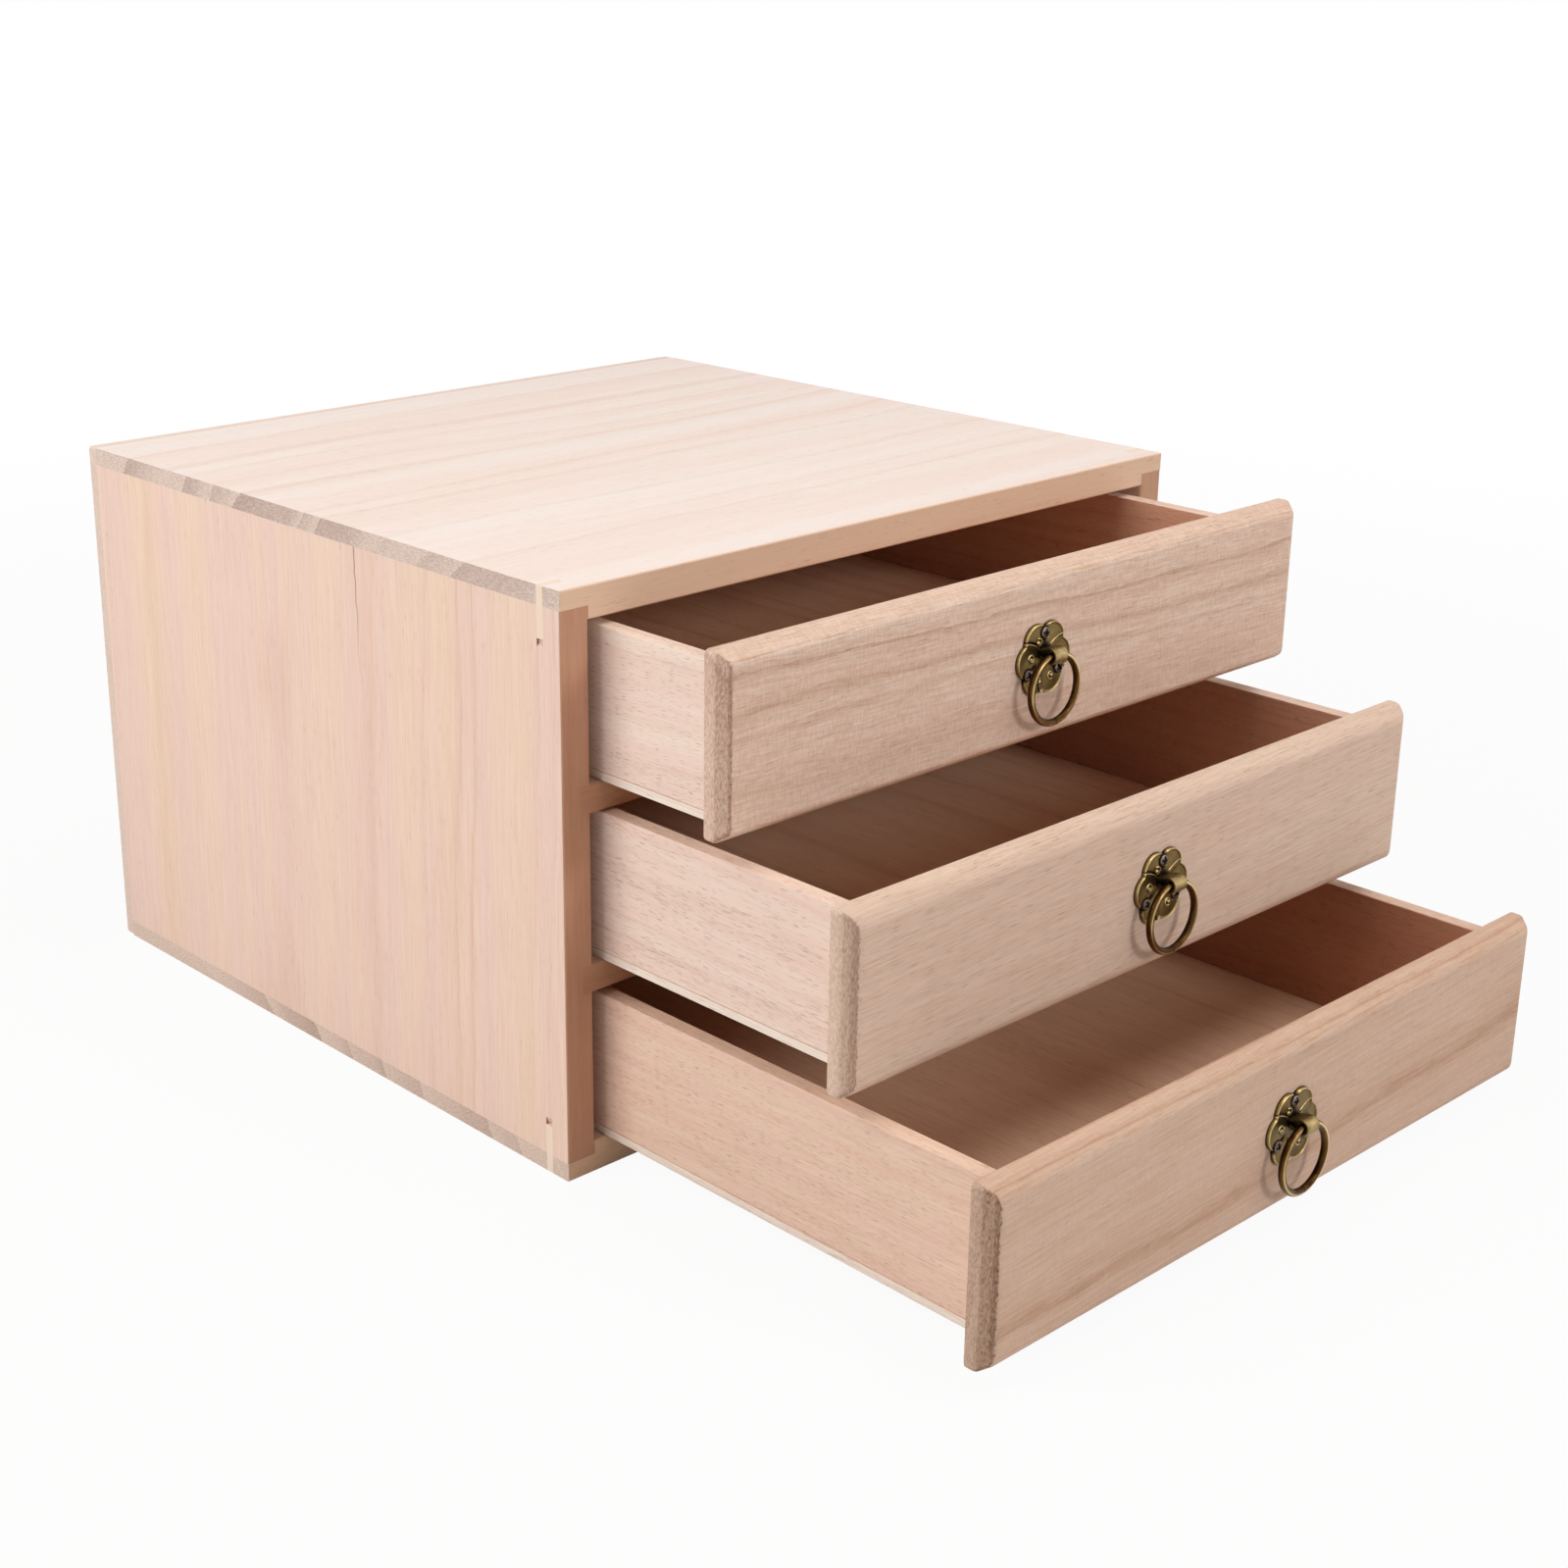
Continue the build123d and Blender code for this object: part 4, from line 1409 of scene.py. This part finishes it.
@dataclass(frozen=True)
class Lamp:
    """A soft rectangular lamp: its place, target and size in metres, and its power in watts."""

    name: str
    place: Triple
    target: Triple
    size: tuple[float, float]
    power: float

    def hang(self) -> None:
        """Puts the lamp in the scene, turned towards its target."""
        data = bpy.data.lights.new(self.name, "AREA")
        data.shape = "RECTANGLE"
        data.size, data.size_y = self.size
        data.energy = self.power
        aim = (Vector(self.target) - Vector(self.place)).to_track_quat("-Z", "Y")
        lamp = put_in_scene(self.name, data)
        lamp.matrix_world = Matrix.Translation(self.place) @ aim.to_matrix().to_4x4()


@dataclass(frozen=True)
class Studio:
    """The pale floor, the soft lamps, the white surroundings and the camera at the photograph's angle."""

    eye: Triple = (-0.6495, -0.7500, 0.4294)
    azimuth: float = -42.82
    elevation: float = 19.32
    roll: float = 0.2
    lens: float = 56.13
    shift: tuple[float, float] = (0.0512, -0.0146)
    floor_size: float = 6.0
    floor_glow: float = 0.94
    glow_radii: tuple[float, float] = (0.45, 1.3)
    paper: str = "#D6D2CE"
    white: str = "#FFFFFF"
    world_strength: float = 0.21
    lamps: tuple[Lamp, ...] = (
        Lamp("key_over_the_left_shoulder", (-1.55, 0.35, 1.3), (0, -0.1, 0.12), (1.4, 1.2), 28.5),
        Lamp("overhead_in_front", (0.35, -0.72, 1.85), (0, -0.12, 0.1), (1.3, 1.0), 15.4),
        Lamp("lamp_before_the_fronts", (0.3, -2.15, 1.02), (0, -0.1, 0.1), (0.42, 0.36), 11.2),
        Lamp("fill_from_the_right", (1.7, -1.7, 0.7), (0, -0.1, 0.1), (1.2, 0.9), 3.5),
    )

    def place_camera(self) -> None:
        """Puts the camera where the photograph was taken from."""
        az, el = radians(self.azimuth), radians(self.elevation)
        forward = Vector((-sin(az) * cos(el), cos(az) * cos(el), -sin(el)))
        level = Vector((cos(az), sin(az), 0))
        up = level.cross(forward)
        turn = radians(self.roll)
        right = level * cos(turn) + up * sin(turn)
        data = bpy.data.cameras.new("camera")
        data.lens = self.lens
        data.sensor_width = 36.0
        data.shift_x, data.shift_y = self.shift
        data.clip_start = 0.01
        camera = put_in_scene("camera", data)
        turned = Matrix((right, right.cross(forward), -forward)).transposed().to_4x4()
        camera.matrix_world = Matrix.Translation(self.eye) @ turned
        bpy.context.scene.camera = camera

    def lay_floor(self) -> None:
        """Lays the floor: plain and pale, mostly white to the camera, with the object's shadow kept."""
        half = self.floor_size / 2
        corners = [(-half, -half, 0), (half, -half, 0), (half, half, 0), (-half, half, 0)]
        mesh = bpy.data.meshes.new("floor")
        mesh.from_pydata(corners, [], [(0, 1, 2, 3)])
        floor = put_in_scene("floor", mesh)
        material, tree = blank_material("pale_paper_floor")
        path = add_node(tree, "ShaderNodeLightPath", {}, {})
        seen = add_node(tree, "ShaderNodeMath", {"operation": "ADD", "use_clamp": True}, {
            0: path.outputs["Is Camera Ray"], 1: path.outputs["Is Glossy Ray"]})
        place = add_node(tree, "ShaderNodeTexCoord", {}, {})
        far = add_node(tree, "ShaderNodeVectorMath", {"operation": "LENGTH"}, {0: place.outputs["Object"]})
        near, wide = self.glow_radii
        share = add_node(tree, "ShaderNodeMapRange", {"interpolation_type": "SMOOTHSTEP"}, {
            "Value": far.outputs["Value"], "From Min": near, "From Max": wide, "To Min": self.floor_glow,
            "To Max": 1.0})
        weight = add_node(tree, "ShaderNodeMath", {"operation": "MULTIPLY"}, {
            0: seen.outputs[0], 1: share.outputs["Result"]})
        paper = add_node(tree, "ShaderNodeBsdfDiffuse", {}, {"Color": linear(self.paper)})
        glow = add_node(tree, "ShaderNodeEmission", {}, {"Color": linear(self.white), "Strength": 1.0})
        mixed = add_node(tree, "ShaderNodeMixShader", {}, {
            0: weight.outputs[0], 1: paper.outputs[0], 2: glow.outputs[0]})
        add_node(tree, "ShaderNodeOutputMaterial", {}, {"Surface": mixed.outputs[0]})
        mesh.materials.append(material)

    def fill_world(self) -> None:
        """Makes the surroundings: white to the camera and in metal and glass, dimmer as a light."""
        world = bpy.data.worlds.new("white_room")
        bpy.context.scene.world = world
        world.use_nodes = True
        tree = world.node_tree
        tree.nodes.clear()
        path = add_node(tree, "ShaderNodeLightPath", {}, {})
        seen = path.outputs["Is Camera Ray"]
        for ray in ("Is Glossy Ray", "Is Transmission Ray"):
            seen = add_node(tree, "ShaderNodeMath", {"operation": "MAXIMUM"}, {
                0: seen, 1: path.outputs[ray]}).outputs[0]
        strength = add_node(tree, "ShaderNodeMapRange", {}, {
            "Value": seen, "To Min": self.world_strength, "To Max": 1.0})
        back = add_node(tree, "ShaderNodeBackground", {}, {
            "Color": linear(self.white), "Strength": strength.outputs["Result"]})
        add_node(tree, "ShaderNodeOutputWorld", {}, {"Surface": back.outputs[0]})

    def make(self) -> None:
        """Sets up the whole studio."""
        self.place_camera()
        self.lay_floor()
        self.fill_world()
        for lamp in self.lamps:
            lamp.hang()
        bpy.context.scene.view_settings.view_transform = "Standard"


def main() -> None:
    """Builds the studio, the case, the drawers and the pulls."""
    logging.basicConfig(level=logging.INFO, format="%(message)s")
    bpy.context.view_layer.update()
    Studio().make()
    Case().dress()
    brass = AgedBrassFinish("aged_stamped_brass").build()
    strap_brass = AgedBrassFinish("aged_brass_strip", flat="#75603A", roughness=0.44, blotch_size=3.5).build()
    ring_brass = AgedBrassFinish(
        "aged_brass_wire", hollow="#2A160A", flat="#7A5A2E", roughness=0.3, blotch_size=5.0).build()
    steel = BlackenedSteelFinish().build()
    for drawer in DRAWERS:
        drawer.make()
        RingPull(drawer.name).make(brass, strap_brass, ring_brass, steel)


if __name__ == "__main__":
    main()
